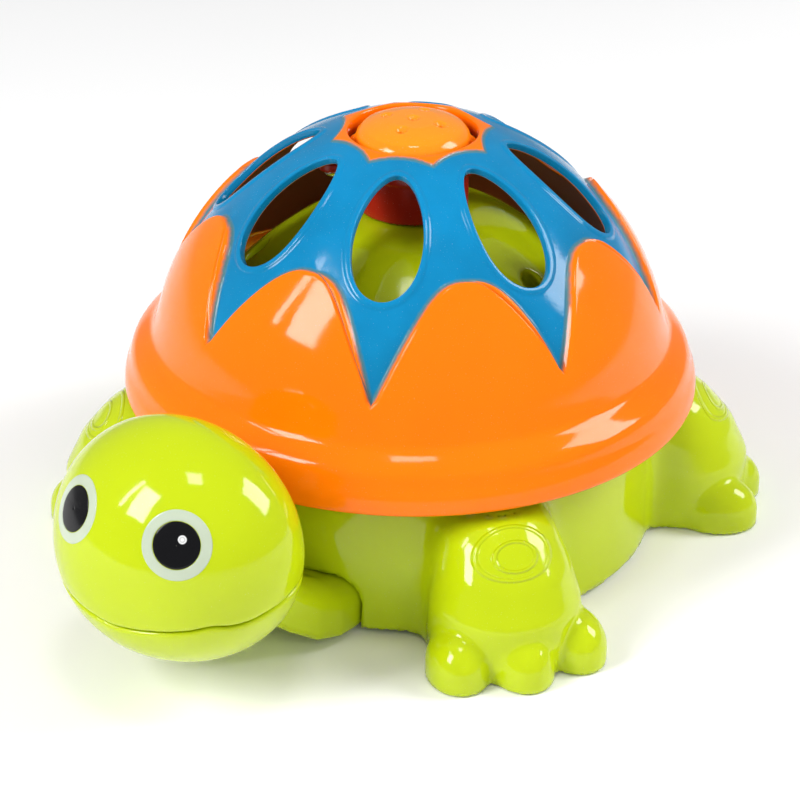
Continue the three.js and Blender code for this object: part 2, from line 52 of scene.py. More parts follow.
def outwardFaces(points, faces):  # turned round when the enclosed volume comes out negative
    a, b, c, d = (points[faces[:, k]] for k in range(4))
    volume = (np.cross(b - a, c - a) * a).sum() + (np.cross(c - a, d - a) * a).sum()
    return faces if volume > 0 else faces[:, ::-1]


def makePiece(name, points, faces, body, slot, material, replaces=(), smooth=True, values=None):
    mesh = bpy.data.meshes.new(name)
    points = (np.asarray(points, float) + [0, axisY, 0]) * 0.001
    faces = outwardFaces(points, np.asarray(faces, np.int32))
    mesh.vertices.add(len(points))
    mesh.vertices.foreach_set("co", points.astype(np.float32).ravel())
    mesh.loops.add(faces.size)
    mesh.loops.foreach_set("vertex_index", faces.ravel())
    mesh.polygons.add(len(faces))
    mesh.polygons.foreach_set("loop_start", np.arange(len(faces), dtype=np.int32) * faces.shape[1])
    mesh.update(calc_edges=True)
    mesh.validate()
    mesh.polygons.foreach_set("use_smooth", np.full(len(mesh.polygons), smooth))
    for key, value in (values or {}).items():
        mesh.attributes.new(key, "FLOAT", "POINT").data.foreach_set("value", np.asarray(value, np.float32))
    mesh.materials.append(material)
    piece = bpy.data.objects.new(name, mesh)
    bpy.context.scene.collection.objects.link(piece)
    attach(piece, body)
    if replaces:
        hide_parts(*([replaces] if isinstance(replaces, str) else replaces))
    print("made", name, len(mesh.vertices), "points")
    return piece


# Quads of a grid whose points run row after row; either way round may be closed.
def gridFaces(rows, columns, closedRows=False, closedColumns=False, flip=False):
    i, j = np.meshgrid(
        np.arange(rows if closedRows else rows - 1), np.arange(columns if closedColumns else columns - 1), indexing="ij")
    nextI, nextJ = (i + 1) % rows, (j + 1) % columns
    quads = np.stack([i * columns + j, i * columns + nextJ, nextI * columns + nextJ, nextI * columns + j], -1)
    quads = quads.reshape(-1, 4)
    return quads[:, ::-1] if flip else quads


# Joins grids into one mesh and welds points that lie together; a welded point keeps its first value.
def weld(parts, tolerance=0.02):
    points = np.concatenate([p for p, f, v in parts])
    values = np.concatenate([v for p, f, v in parts])
    starts = np.cumsum([0] + [len(p) for p, f, v in parts[:-1]])
    faces = np.concatenate([f + start for (p, f, v), start in zip(parts, starts)])
    keys = np.round(points / tolerance).astype(np.int64)
    unused, first, back = np.unique(keys, axis=0, return_index=True, return_inverse=True)
    faces = back.reshape(-1)[faces]
    flat = (faces == np.roll(faces, 1, axis=1)).any(1)
    return points[first], faces[~flat], values[first]


# A line through points, evenly stepped and smoothed over a distance so that reflections run clean along it.
def smoothLine(points, reach, count):
    points = np.asarray(points, float)
    along = np.concatenate([[0], np.cumsum(np.hypot(*np.diff(points, axis=0).T))])
    fine = np.linspace(0, along[-1], 1601)
    line = np.stack([np.interp(fine, along, points[:, k]) for k in (0, 1)], 1)
    span = int(3 * reach / fine[1]) + 1
    weights = np.exp(-0.5 * (np.arange(-span, span + 1) * fine[1] / reach) ** 2)
    weights /= weights.sum()
    padded = np.concatenate([2 * line[0] - line[span:0:-1], line, 2 * line[-1] - line[-2:-span - 2:-1]])
    line = np.stack([np.convolve(padded[:, k], weights, "valid") for k in (0, 1)], 1)
    along = np.concatenate([[0], np.cumsum(np.hypot(*np.diff(line, axis=0).T))])
    even = np.linspace(0, along[-1], count)
    return np.stack([np.interp(even, along, line[:, k]) for k in (0, 1)], 1)



def ball(p, centre, radii):
    q = (p - np.array(centre)) / np.array(radii)
    near = np.sqrt((q ** 2).sum(-1)) + 1e-9
    steep = np.sqrt(((q / np.array(radii)) ** 2).sum(-1)) + 1e-9
    return near * (near - 1) / steep


# Smallest of two fields, with the corner between them filled over a distance.
def join(a, b, fillet):
    h = np.maximum(fillet - np.abs(a - b), 0) / fillet
    return np.minimum(a, b) - h * h * fillet / 4


# Largest of two fields, with the edge between them rounded over a distance; a cutter goes in with its sign turned.
def trim(a, b, fillet):
    return -join(-a, -b, fillet)


# Distance to a closed outline of [radius, height] points turned about the vertical axis.
def turnedField(p, outline):
    outline = np.asarray(outline, float)
    r, z = np.hypot(p[..., 0], p[..., 1]), p[..., 2]
    nearest = np.full(r.shape, 1e9)
    inside = np.zeros(r.shape, bool)
    for (r0, z0), (r1, z1) in zip(outline, np.roll(outline, -1, axis=0)):
        dr, dz = r1 - r0, z1 - z0
        t = np.clip(((r - r0) * dr + (z - z0) * dz) / (dr * dr + dz * dz + 1e-12), 0, 1)
        nearest = np.minimum(nearest, (r - r0 - t * dr) ** 2 + (z - z0 - t * dz) ** 2)
        if dz:
            inside ^= ((z0 > z) != (z1 > z)) & (r < r0 + (z - z0) * dr / dz)
    return np.where(inside, -1, 1) * np.sqrt(nearest)


def rodField(p, x, y, radius, low, high):
    side = np.hypot(p[..., 0] - x, p[..., 1] - y) - radius
    end = np.abs(p[..., 2] - (low + high) / 2) - (high - low) / 2
    return np.maximum(side, end)


# One point in each cell that the surface crosses, moved onto the surface, and a quad across each crossed cell edge.
def meshField(field, low, high, step):
    low, high = np.array(low, float), np.array(high, float)
    counts = np.ceil((high - low) / step).astype(int) + 1
    axes = [low[k] + step * np.arange(counts[k]) for k in range(3)]
    value = np.empty(counts, np.float32)
    for i in range(0, counts[0], 24):  # slabs keep the arrays small
        value[i:i + 24] = field(np.stack(np.meshgrid(axes[0][i:i + 24], axes[1], axes[2], indexing="ij"), -1))
    inside = value < 0
    corners = [(a, b, c) for a in (0, 1) for b in (0, 1) for c in (0, 1)]
    cells = tuple(counts - 1)
    pick = {c: tuple(slice(c[k], c[k] + cells[k]) for k in range(3)) for c in corners}
    total = sum(inside[pick[c]].astype(np.int8) for c in corners)
    active = (total > 0) & (total < 8)
    where = np.argwhere(active)
    number = np.full(cells, -1)
    number[active] = np.arange(len(where))
    place, hits = np.zeros((len(where), 3)), np.zeros(len(where))
    for a in corners:
        for k in range(3):
            if a[k]:
                continue
            b = tuple(1 if m == k else a[m] for m in range(3))
            va, vb = value[pick[a]][active], value[pick[b]][active]
            crossed = (va < 0) != (vb < 0)
            t = np.where(crossed, va / np.where(crossed, va - vb, 1), 0)
            spot = np.array(a) + np.eye(3)[k] * t[:, None]
            place += spot * crossed[:, None]
            hits += crossed
    points = low + step * (where + place / hits[:, None])
    faces = []
    for k in range(3):
        m, n = (k + 1) % 3, (k + 2) % 3
        start = [slice(None)] * 3
        stop = [slice(None)] * 3
        start[k], stop[k] = slice(0, -1), slice(1, None)
        a, b = inside[tuple(start)], inside[tuple(stop)]
        edge = np.argwhere(a != b)
        edge = edge[(edge[:, m] > 0) & (edge[:, n] > 0) & (edge[:, m] < cells[m]) & (edge[:, n] < cells[n])]
        stepM, stepN = np.eye(3, dtype=int)[m], np.eye(3, dtype=int)[n]
        quad = np.stack([number[tuple((edge - s).T)] for s in (0 * stepM, stepM, stepM + stepN, stepN)], 1)
        outward = a[tuple(edge.T)]
        faces.append(np.where(outward[:, None], quad, quad[:, ::-1]))
    faces = np.concatenate(faces)
    for turn in range(3):  # Newton steps along the field's slope
        base = field(points)
        slope = np.stack([(field(points + 0.05 * e) - field(points - 0.05 * e)) / 0.1 for e in np.eye(3)], 1)
        move = (base / np.maximum((slope ** 2).sum(1), 0.09))[:, None] * slope
        length = np.linalg.norm(move, axis=1, keepdims=True)
        points = points - move * np.minimum(1, 0.5 * step / np.maximum(length, 1e-9))
    return points, faces



class Signal:  # one node output; expressions on it add Math nodes
    def __init__(self, tree, socket):
        self.tree, self.socket = tree, socket

    def maths(self, operation, *others):
        return addNode(self.tree, "ShaderNodeMath", {"operation": operation}, dict(enumerate((self, *others))))

    def __add__(self, other):
        return self.maths("ADD", other)

    def __sub__(self, other):
        return self.maths("SUBTRACT", other)

    def __rsub__(self, other):
        return self.maths("MULTIPLY_ADD", -1.0, other)

    def __mul__(self, other):
        return self.maths("MULTIPLY", other)

    def __pow__(self, other):
        return self.maths("POWER", other)

    __radd__ = __add__
    __rmul__ = __mul__

    def ramp(self, low, high, toLow=0.0, toHigh=1.0):  # smooth step between two values
        return addNode(self.tree, "ShaderNodeMapRange", {"interpolation_type": "SMOOTHSTEP"},
                       {0: self, 1: low, 2: high, 3: toLow, 4: toHigh})


def addNode(tree, kind, settings=None, inputs=None, output=0):
    node = tree.nodes.new(kind)
    for key, value in (settings or {}).items():
        if key == "stops":
            elements = node.color_ramp.elements
            for i, (at, colour) in enumerate(value):
                element = elements[i] if i < len(elements) else elements.new(at)
                element.position, element.color = at, (*colour, 1)
        else:
            setattr(node, key, value)
    for key, value in (inputs or {}).items():
        if isinstance(value, Signal):
            tree.links.new(value.socket, node.inputs[key])
        elif isinstance(value, tuple) and len(value) == 3 and node.inputs[key].type == "RGBA":
            node.inputs[key].default_value = (*value, 1)
        else:
            node.inputs[key].default_value = value
    return Signal(tree, node.outputs[output]) if len(node.outputs) else None


def startMaterial(name):
    material = bpy.data.materials.new(name)
    material.use_nodes = True
    tree = material.node_tree
    tree.nodes.clear()
    place = addNode(tree, "ShaderNodeTexCoord", output=3)
    return material, tree, place


def noise(tree, place, scale, detail=2.0, rough=0.5):
    return addNode(tree, "ShaderNodeTexNoise", {}, {"Vector": place, "Scale": scale, "Detail": detail, "Roughness": rough})


def mixColour(tree, factor, a, b, blend="MIX"):
    node = tree.nodes.new("ShaderNodeMix")
    node.data_type, node.blend_type = "RGBA", blend
    for socket, value in zip((node.inputs[0], node.inputs[6], node.inputs[7]), (factor, a, b)):
        if isinstance(value, Signal):
            tree.links.new(value.socket, socket)
        elif isinstance(value, tuple):
            socket.default_value = (*value, 1)
        else:
            socket.default_value = value
    return Signal(tree, node.outputs[2])


def bump(tree, height, strength, distance, normal=None):
    inputs = {"Height": height, "Strength": strength, "Distance": distance}
    if normal:
        inputs["Normal"] = normal
    return addNode(tree, "ShaderNodeBump", {}, inputs)


def finish(material, tree, settings):
    shader = addNode(tree, "ShaderNodeBsdfPrincipled", {}, settings)
    addNode(tree, "ShaderNodeOutputMaterial", {}, {"Surface": shader})
    return material


def scaled(colour, amount):
    return tuple(c * amount for c in colour)


# Glossy moulded plastic: slow colour drift, faint flow marks, orange-peel relief, dust-dulled patches.
def mouldedPlastic(name, colour, gloss=0.16, glow=0.12, drift=0.05, glowRadius=(0.004, 0.003, 0.001), shine=0.4):
    material, tree, place = startMaterial(name)
    slow = noise(tree, place, 14.0, 3.0)
    fine = noise(tree, place, 900.0, 2.0)
    speck = noise(tree, place, 2600.0, 1.0).ramp(0.70, 0.78)
    tone = mixColour(tree, slow.ramp(0.3, 0.7), scaled(colour, 1 - drift), scaled(colour, 1 + drift * 0.6))
    tone = mixColour(tree, speck * 0.10, tone, (0.9, 0.9, 0.85))
    dull = noise(tree, place, 60.0, 4.0).ramp(0.45, 0.75)
    relief = bump(tree, noise(tree, place, 240.0, 2.0) + fine * 0.25, 0.05, 0.0004)
    return finish(material, tree, {
        "Base Color": tone, "Roughness": dull * 0.07 + gloss + speck * 0.2, "Normal": relief,
        "Subsurface Weight": glow, "Subsurface Radius": glowRadius, "Subsurface Scale": 1.0,
        "Specular IOR Level": shine, "Coat Weight": 0.0,
    })



view = {"azimuth": 33.0, "elevation": 27.66, "distance": 0.9, "roll": 0.66, "focalPixels": 2881.0,
        "centre": (410.3, 374.6), "picture": 800, "sensor": 36.0}


def placeCamera():
    a, e = math.radians(view["azimuth"]), math.radians(view["elevation"])
    back = np.array([math.sin(a) * math.cos(e), -math.cos(a) * math.cos(e), math.sin(e)])
    right = np.array([math.cos(a), math.sin(a), 0])
    up = np.cross(back, right)
    roll = math.radians(view["roll"])
    turnedRight = math.cos(roll) * right + math.sin(roll) * up
    turnedUp = math.cos(roll) * up - math.sin(roll) * right
    target = np.array([0, axisY * 0.001, rimZ * 0.001])
    data = bpy.data.cameras.new("camera")
    data.sensor_width = view["sensor"]
    data.lens = view["focalPixels"] / view["picture"] * view["sensor"]
    half = view["picture"] / 2
    data.shift_x = (half - view["centre"][0]) / view["picture"]
    data.shift_y = (view["centre"][1] - half) / view["picture"]
    data.clip_start, data.clip_end = 0.05, 20
    camera = bpy.data.objects.new("camera", data)
    place = np.eye(4)
    place[:3, 0], place[:3, 1], place[:3, 2] = turnedRight, turnedUp, back
    place[:3, 3] = target + view["distance"] * back
    camera.matrix_world = Matrix(place.tolist())
    bpy.context.scene.collection.objects.link(camera)
    bpy.context.scene.camera = camera


studio = {
    "world": 0.33,
    "panels": [  # name, direction it comes from (azimuth, elevation), distance, width, height, power
        ("leftBox", (-21, 36), 1.3, 0.34, 0.60, 11.5),
        ("leftStrip", (-37, 37), 1.3, 0.07, 0.60, 2.1),
        ("rightBox", (127, 36), 1.3, 0.46, 0.60, 10.0),
        ("overhead", (38, 77), 1.5, 0.30, 0.30, 3.0),
        ("frontFill", (60, 30), 2.6, 2.2, 1.6, 11.0),
    ],
}


def lightStudio():
    world = bpy.data.worlds.new("studio")
    world.use_nodes = True
    world.node_tree.nodes["Background"].inputs[0].default_value = (1, 1, 1, 1)
    world.node_tree.nodes["Background"].inputs[1].default_value = studio["world"]
    bpy.context.scene.world = world
    target = np.array([0, 0, 0.06])
    for name, (azimuth, elevation), distance, width, height, power in studio["panels"]:
        a, e = math.radians(azimuth), math.radians(elevation)
        back = np.array([math.sin(a) * math.cos(e), -math.cos(a) * math.cos(e), math.sin(e)])
        right = np.array([math.cos(a), math.sin(a), 0])
        data = bpy.data.lights.new(name, "AREA")
        data.shape, data.size, data.size_y, data.energy = "RECTANGLE", width, height, power
        lamp = bpy.data.objects.new(name, data)
        lamp.visible_glossy = name != "frontFill"
        place = np.eye(4)
        place[:3, 0], place[:3, 1], place[:3, 2], place[:3, 3] = right, np.cross(back, right), back, target + distance * back
        lamp.matrix_world = Matrix(place.tolist())
        bpy.context.scene.collection.objects.link(lamp)
    settings = bpy.context.scene.view_settings
    settings.view_transform, settings.look = "Standard", "None"


def layFloor():
    material, tree, place = startMaterial("paleFloor")
    tone = mixColour(tree, noise(tree, place, 3.0).ramp(0.3, 0.7), (0.93, 0.93, 0.93), (0.95, 0.95, 0.95))
    finish(material, tree, {"Base Color": tone, "Roughness": 0.9})
    mesh = bpy.data.meshes.new("floor")
    mesh.from_pydata([(-6, -6, -0.0003), (6, -6, -0.0003), (6, 6, -0.0003), (-6, 6, -0.0003)], [], [(0, 1, 2, 3)])
    mesh.materials.append(material)
    floor = bpy.data.objects.new("floor", mesh)
    bpy.context.scene.collection.objects.link(floor)


placeCamera()
lightStudio()
layFloor()
print("studio ready")



limeColour = (0.49, 0.605, 0.004)
orangeColour = (1.0, 0.19, 0.001)
blueColour = (0.002, 0.215, 0.45)

limePlastic = mouldedPlastic("limePlastic", limeColour, gloss=0.07)
orangePlastic = mouldedPlastic("orangePlastic", orangeColour, gloss=0.07, glowRadius=(0.005, 0.002, 0.0006), shine=0.25)
capPlastic = mouldedPlastic("capPlastic", (1.0, 0.29, 0.008), gloss=0.09, glowRadius=(0.005, 0.003, 0.0006))
redPlastic = mouldedPlastic("redPlastic", (0.44, 0.022, 0.008), gloss=0.2)
palePlastic = mouldedPlastic("palePlastic", (0.62, 0.64, 0.6), gloss=0.3)
eyeWhite = mouldedPlastic("eyeWhite", (0.49, 0.56, 0.43), gloss=0.12, drift=0.02)


# Sprayed paint: blue inside the field's edge with a thin greenish overspray, orange plastic outside it, and painted
# shade: the shell's inner face is coloured dark brown.
def paintedShellFinish():
    material, tree, place = startMaterial("paintedShell")
    edge = addNode(tree, "ShaderNodeAttribute", {"attribute_name": "paintEdgeAndInnerShade"}, output=2)
    ragged = edge + (noise(tree, place, 700.0, 3.0) - 0.5) * 0.55 + (noise(tree, place, 90.0, 2.0) - 0.5) * 0.35
    slow = noise(tree, place, 14.0, 3.0).ramp(0.3, 0.7)
    speck = noise(tree, place, 2600.0, 1.0).ramp(0.70, 0.78)
    orange = mixColour(tree, slow, scaled(orangeColour, 0.95), scaled(orangeColour, 1.03))
    mottle = noise(tree, place, 45.0, 4.0).ramp(0.3, 0.7)
    blue = mixColour(tree, mottle, scaled(blueColour, 0.9), scaled(blueColour, 1.08))
    mist = mixColour(tree, 0.5, (0.16, 0.19, 0.02), blueColour)
    tone = mixColour(tree, ragged.ramp(-0.9, 0.05), orange, mist)
    tone = mixColour(tree, ragged.ramp(0.0, 1.1), tone, blue)
    tone = mixColour(tree, speck * 0.08, tone, (0.9, 0.9, 0.88))
    # Painted shade: where the attribute is -90, on the shell's inner face, the colour turns dark brown.
    tone = mixColour(tree, edge.ramp(-80.0, -70.0, 1.0, 0.0), tone, (0.22, 0.045, 0.004))
    painted = ragged.ramp(0.0, 0.5)
    dull = noise(tree, place, 60.0, 4.0).ramp(0.45, 0.75)
    relief = noise(tree, place, 240.0, 2.0) + noise(tree, place, 1100.0, 2.0) * (painted * 0.7 + 0.25)
    return finish(material, tree, {
        "Base Color": tone, "Roughness": dull * 0.05 + painted * 0.03 + 0.07 + speck * 0.2 + edge.ramp(-80.0, -70.0, 0.55, 0.0),
        "Normal": bump(tree, relief, 0.05, 0.0004), "Subsurface Weight": 0.1,
        "Subsurface Radius": (0.004, 0.002, 0.001), "Subsurface Scale": 1.0,
        "Specular IOR Level": 0.27, "Coat Weight": 0.0,
    })



shell = {
    "wall": 2.2, "rise": 2.3, "holeRadius": 19.6, "sleeve": 5.0,
    "tongueTop": 58.8, "toothTips": (28.5, 32.5), "archPowers": (2.2, 3.2), "turn": 2.0,
    "windowInner": 28.2, "windowOuter": 60.2, "windowHalf": 10.1, "windowTaper": 0.28,
    "beadRise": 0.45, "beadWidth": 2.2, "starPoint": 24.8, "starValley": 21.2, "starPower": 2.2, "starRise": 0.5,
    "acrossTeeth": 26, "alongWebs": 13, "acrossStar": 8,
}
sector = math.pi / 8

# Base line of the dome from the skirt to the hole: the painted surface, and below it the tongues' line let in by their rise.
baseLine = smoothLine([
    (80.4, 12.0), (77.6, 17.2), (75.8, 22.0), (74.9, 26.4), (73.9, 29.6), (72.4, 33.5), (70.9, 37.0), (69.1, 41.0), (67.0, 44.8),
    (64.6, 48.6), (61.8, 52.4), (58.9, 55.9), (55.6, 59.6), (51.9, 63.7), (47.8, 67.6), (43.2, 71.3), (38.3, 74.7),
    (33.2, 77.6), (28.2, 80.0), (23.6, 81.7), (19.0, 82.9)], 3.0, 900)
lineNormal = np.gradient(baseLine, axis=0)[:, ::-1] * [1, -1]
lineNormal /= np.linalg.norm(lineNormal, axis=1, keepdims=True)
lineAlong = np.concatenate([[0], np.cumsum(np.hypot(*np.diff(baseLine, axis=0).T))])


def alongAtHeight(z):
    return np.interp(z, baseLine[:, 1], lineAlong)


def alongAtRadius(r):
    return np.interp(-np.asarray(r), -baseLine[:, 0], lineAlong)


def radiusAlong(s):
    return np.interp(s, lineAlong, baseLine[:, 0])


# Point of the dome at an angle from the head, a distance along its line and a height off its surface.
def domePoint(angle, s, h):
    r = np.interp(s, lineAlong, baseLine[:, 0]) + h * np.interp(s, lineAlong, lineNormal[:, 0])
    z = np.interp(s, lineAlong, baseLine[:, 1]) + h * np.interp(s, lineAlong, lineNormal[:, 1])
    return np.stack([r * np.sin(angle), -r * np.cos(angle), z + rimZ], -1)


def tongueEdge(angle):  # along-distance of the painted field's lower edge: arches over the tongues, pointed teeth between
    turn = np.mod(angle, 2 * sector)
    part = np.abs(turn / sector - 1)  # 0 at a tooth, 1 at a tongue
    tooth = np.floor(np.mod(angle, 2 * math.pi) / (2 * sector)).astype(int) % 2
    tip = np.where(tooth == 0, shell["toothTips"][0], shell["toothTips"][1])
    power = np.where(turn < sector, shell["archPowers"][1], shell["archPowers"][0])
    fall = (1 - part) ** power
    return alongAtHeight(shell["tongueTop"] - (shell["tongueTop"] - tip) * fall)


def starEdge(angle):  # along-distance of the star: scallops between points that lie on the webs
    part = np.abs(np.mod(angle, 2 * sector) / sector - 1)
    radius = shell["starValley"] + (shell["starPoint"] - shell["starValley"]) * part ** shell["starPower"]
    return alongAtRadius(radius)


def windowEdge(turn):  # angle off the window's middle and along-distance, going round the teardrop
    middle = (shell["windowInner"] + shell["windowOuter"]) / 2
    half = (shell["windowOuter"] - shell["windowInner"]) / 2
    x = middle + half * np.cos(turn)
    y = shell["windowHalf"] * (1 + shell["windowTaper"] * np.cos(turn)) * np.sin(turn)
    return np.arctan2(y, x), alongAtRadius(np.hypot(x, y))


# Shortest distance on the surface from points to a line, both given as angle and along-distance.
def surfaceDistance(angle, s, lineAngle, lineS):
    r = radiusAlong(s)
    best = np.full(np.shape(angle), 1e9)
    for a0, s0, a1, s1 in zip(lineAngle[:-1], lineS[:-1], lineAngle[1:], lineS[1:]):
        x0, y0 = (angle - a0) * r, s - s0
        dx, dy = (a1 - a0) * r, s1 - s0
        t = np.clip((x0 * dx + y0 * dy) / (dx * dx + dy * dy + 1e-12), 0, 1)
        best = np.minimum(best, np.hypot(x0 - t * dx, y0 - t * dy))
    return best


def smoothStep(x, low, high):
    t = np.clip((x - low) / (high - low), 0, 1)
    return t * t * (3 - 2 * t)


def liftedHeight(toWindow, toField, toStar):  # bead round a window, tongues and star, by distance from each edge
    bead = shell["beadRise"] * np.sqrt(np.clip(1 - ((toWindow - 0.95) / 1.3) ** 2, 0, 1))
    bead = bead * (1 - smoothStep(toWindow, 1.5, shell["beadWidth"] + 0.3))
    tongue = shell["rise"] * (1 - smoothStep(toField, -1.5, 0.45))
    star = shell["starRise"] * (1 - smoothStep(toStar, -0.6, 0.35))
    return np.maximum(bead, 0) + tongue + star


def resample(angle, s, count):
    r = radiusAlong((s[1:] + s[:-1]) / 2)
    along = np.concatenate([[0], np.cumsum(np.hypot(np.diff(angle) * r, np.diff(s)))])
    even = np.linspace(0, along[-1], count + 1)
    return np.interp(even, along, angle), np.interp(even, along, s)


# Outline of one eighth of the dome: tooth tip, arch, web middle, star scallop and back, starting at the tip.
def sectorOutline(k):
    middle = (2 * k + 1) * sector
    a = middle + np.linspace(0, sector, 200)
    archA, archS = resample(a, tongueEdge(np.clip(a, middle, middle + sector - 1e-6)), shell["acrossTeeth"])
    low, high = alongAtHeight(shell["tongueTop"]), starEdge(np.array([2 * sector]))[0]
    steps = np.linspace(0, 1, shell["alongWebs"] + 1) ** 1.25
    webS = low + (high - low) * steps
    a = middle + np.linspace(sector, 0, 200)
    starA, starS = resample(a, starEdge(np.clip(a, middle, middle + sector - 1e-6)), shell["acrossStar"])
    halfA = np.concatenate([archA[:-1], np.full(len(webS) - 1, middle + sector), starA])
    halfS = np.concatenate([archS[:-1], webS[:-1], starS])
    return np.concatenate([halfA, (2 * middle - halfA)[-2:0:-1]]), np.concatenate([halfS, halfS[-2:0:-1]])


def windowRows():  # how far out each ring lies: fixed steps at the bead, even between, fixed steps at the outline
    near = [0.0, 0.2, 0.5, 0.85, 1.2, 1.55, 1.9, 2.3, 2.8]
    far = [1.7, 1.0, 0.45, 0.0]
    return near, 10, far


def shellMesh():
    parts = []
    near, between, far = windowRows()
    wall = shell["wall"]
    for k in range(8):
        middle = (2 * k + 1) * sector
        outA, outS = sectorOutline(k)
        centreS = alongAtRadius(46.0)
        turn = np.arctan2(-(outA - middle) / sector, (centreS - outS) / 26.0)
        turn = np.unwrap(-turn)
        turn = turn - turn[0]
        edgeA, edgeS = windowEdge(turn)
        edgeA = middle + edgeA
        reach = np.hypot((outA - edgeA) * radiusAlong((outS + edgeS) / 2), outS - edgeS)
        share = [np.full_like(reach, d) / reach for d in near]
        first, last = near[-1] / reach, 1 - far[0] / reach
        share += [first + (last - first) * i / between for i in range(1, between)]
        share += [1 - e / reach for e in far]
        share = np.array(share)
        A, S = edgeA + (outA - edgeA) * share, edgeS + (outS - edgeS) * share
        lineA = middle + np.linspace(-1.3 * sector, 1.3 * sector, 160)
        toField = surfaceDistance(A, S, lineA, tongueEdge(lineA)) * np.sign(S - tongueEdge(A) + 1e-9)
        toStar = surfaceDistance(A, S, lineA, starEdge(lineA)) * np.sign(starEdge(A) - S + 1e-9)
        toField[-1, :shell["acrossTeeth"] + 1] = 0
        toField[-1, -shell["acrossTeeth"]:] = 0
        starFirst = shell["acrossTeeth"] + shell["alongWebs"]
        toStar[-1, starFirst:starFirst + 2 * shell["acrossStar"] + 1] = 0
        toWindow = share * reach
        height = liftedHeight(toWindow, toField, toStar)
        lip = [(0.0, 0.32), (0.0, -0.2), (0.0, -1.0), (0.0, -wall + 0.35), (0.35, -wall)]
        rowsA = [edgeA + (outA - edgeA) * (d / reach) for d, h in lip[::-1]]
        rowsS = [edgeS + (outS - edgeS) * (d / reach) for d, h in lip[::-1]]
        rowsH = [np.full_like(reach, h) for d, h in lip[::-1]]
        inner = np.linspace(1, 0, 8)[:-1]
        inA = [edgeA + (outA - edgeA) * w for w in inner]
        inS = [edgeS + (outS - edgeS) * w for w in inner]
        inH = [np.full_like(reach, -wall)] * len(inner)
        allA = np.concatenate([inA, rowsA, A[1:]])
        allS = np.concatenate([inS, rowsS, S[1:]])
        allH = np.concatenate([inH, rowsH, height[1:]])
        paint = np.minimum(toField, toStar)
        # The inner face gets -90, which the shader turns into painted shade, dark brown.
        innerShadeMark = np.full((len(inner) + 1, len(reach)), -90.0)
        paint = np.concatenate([innerShadeMark, np.full((len(lip) - 1, len(reach)), 4.0), paint[1:]])
        points = domePoint(allA, allS, allH)
        parts.append((points.reshape(-1, 3), gridFaces(*allA.shape, closedColumns=True, flip=True), paint.ravel()))
    parts += skirtParts() + starParts()
    points, faces, paint = weld(parts)
    a = math.radians(shell["turn"])
    points = points @ np.array([[math.cos(a), math.sin(a), 0], [-math.sin(a), math.cos(a), 0], [0, 0, 1]])
    return points, faces, paint


# Skirt as [radius, height] from the tongues down over its ridge to the rim and up inside.
skirtLine = smoothLine([
    (79.7, 20.0), (80.15, 18.4), (80.7, 17.2), (81.7, 16.2), (83.3, 15.0), (85.0, 13.6), (86.1, 12.4), (86.8, 10.9),
    (87.2, 9.2), (87.6, 7.8), (88.2, 6.4), (88.65, 4.8), (88.9, 2.6), (88.9, 0.9), (88.3, 0.15), (87.4, 0.0), (86.5, 0.2),
    (86.2, 1.2), (86.0, 5.0), (84.8, 9.0), (82.8, 12.4), (79.9, 15.2), (77.6, 18.6), (76.4, 21.4)], 0.42, 74)


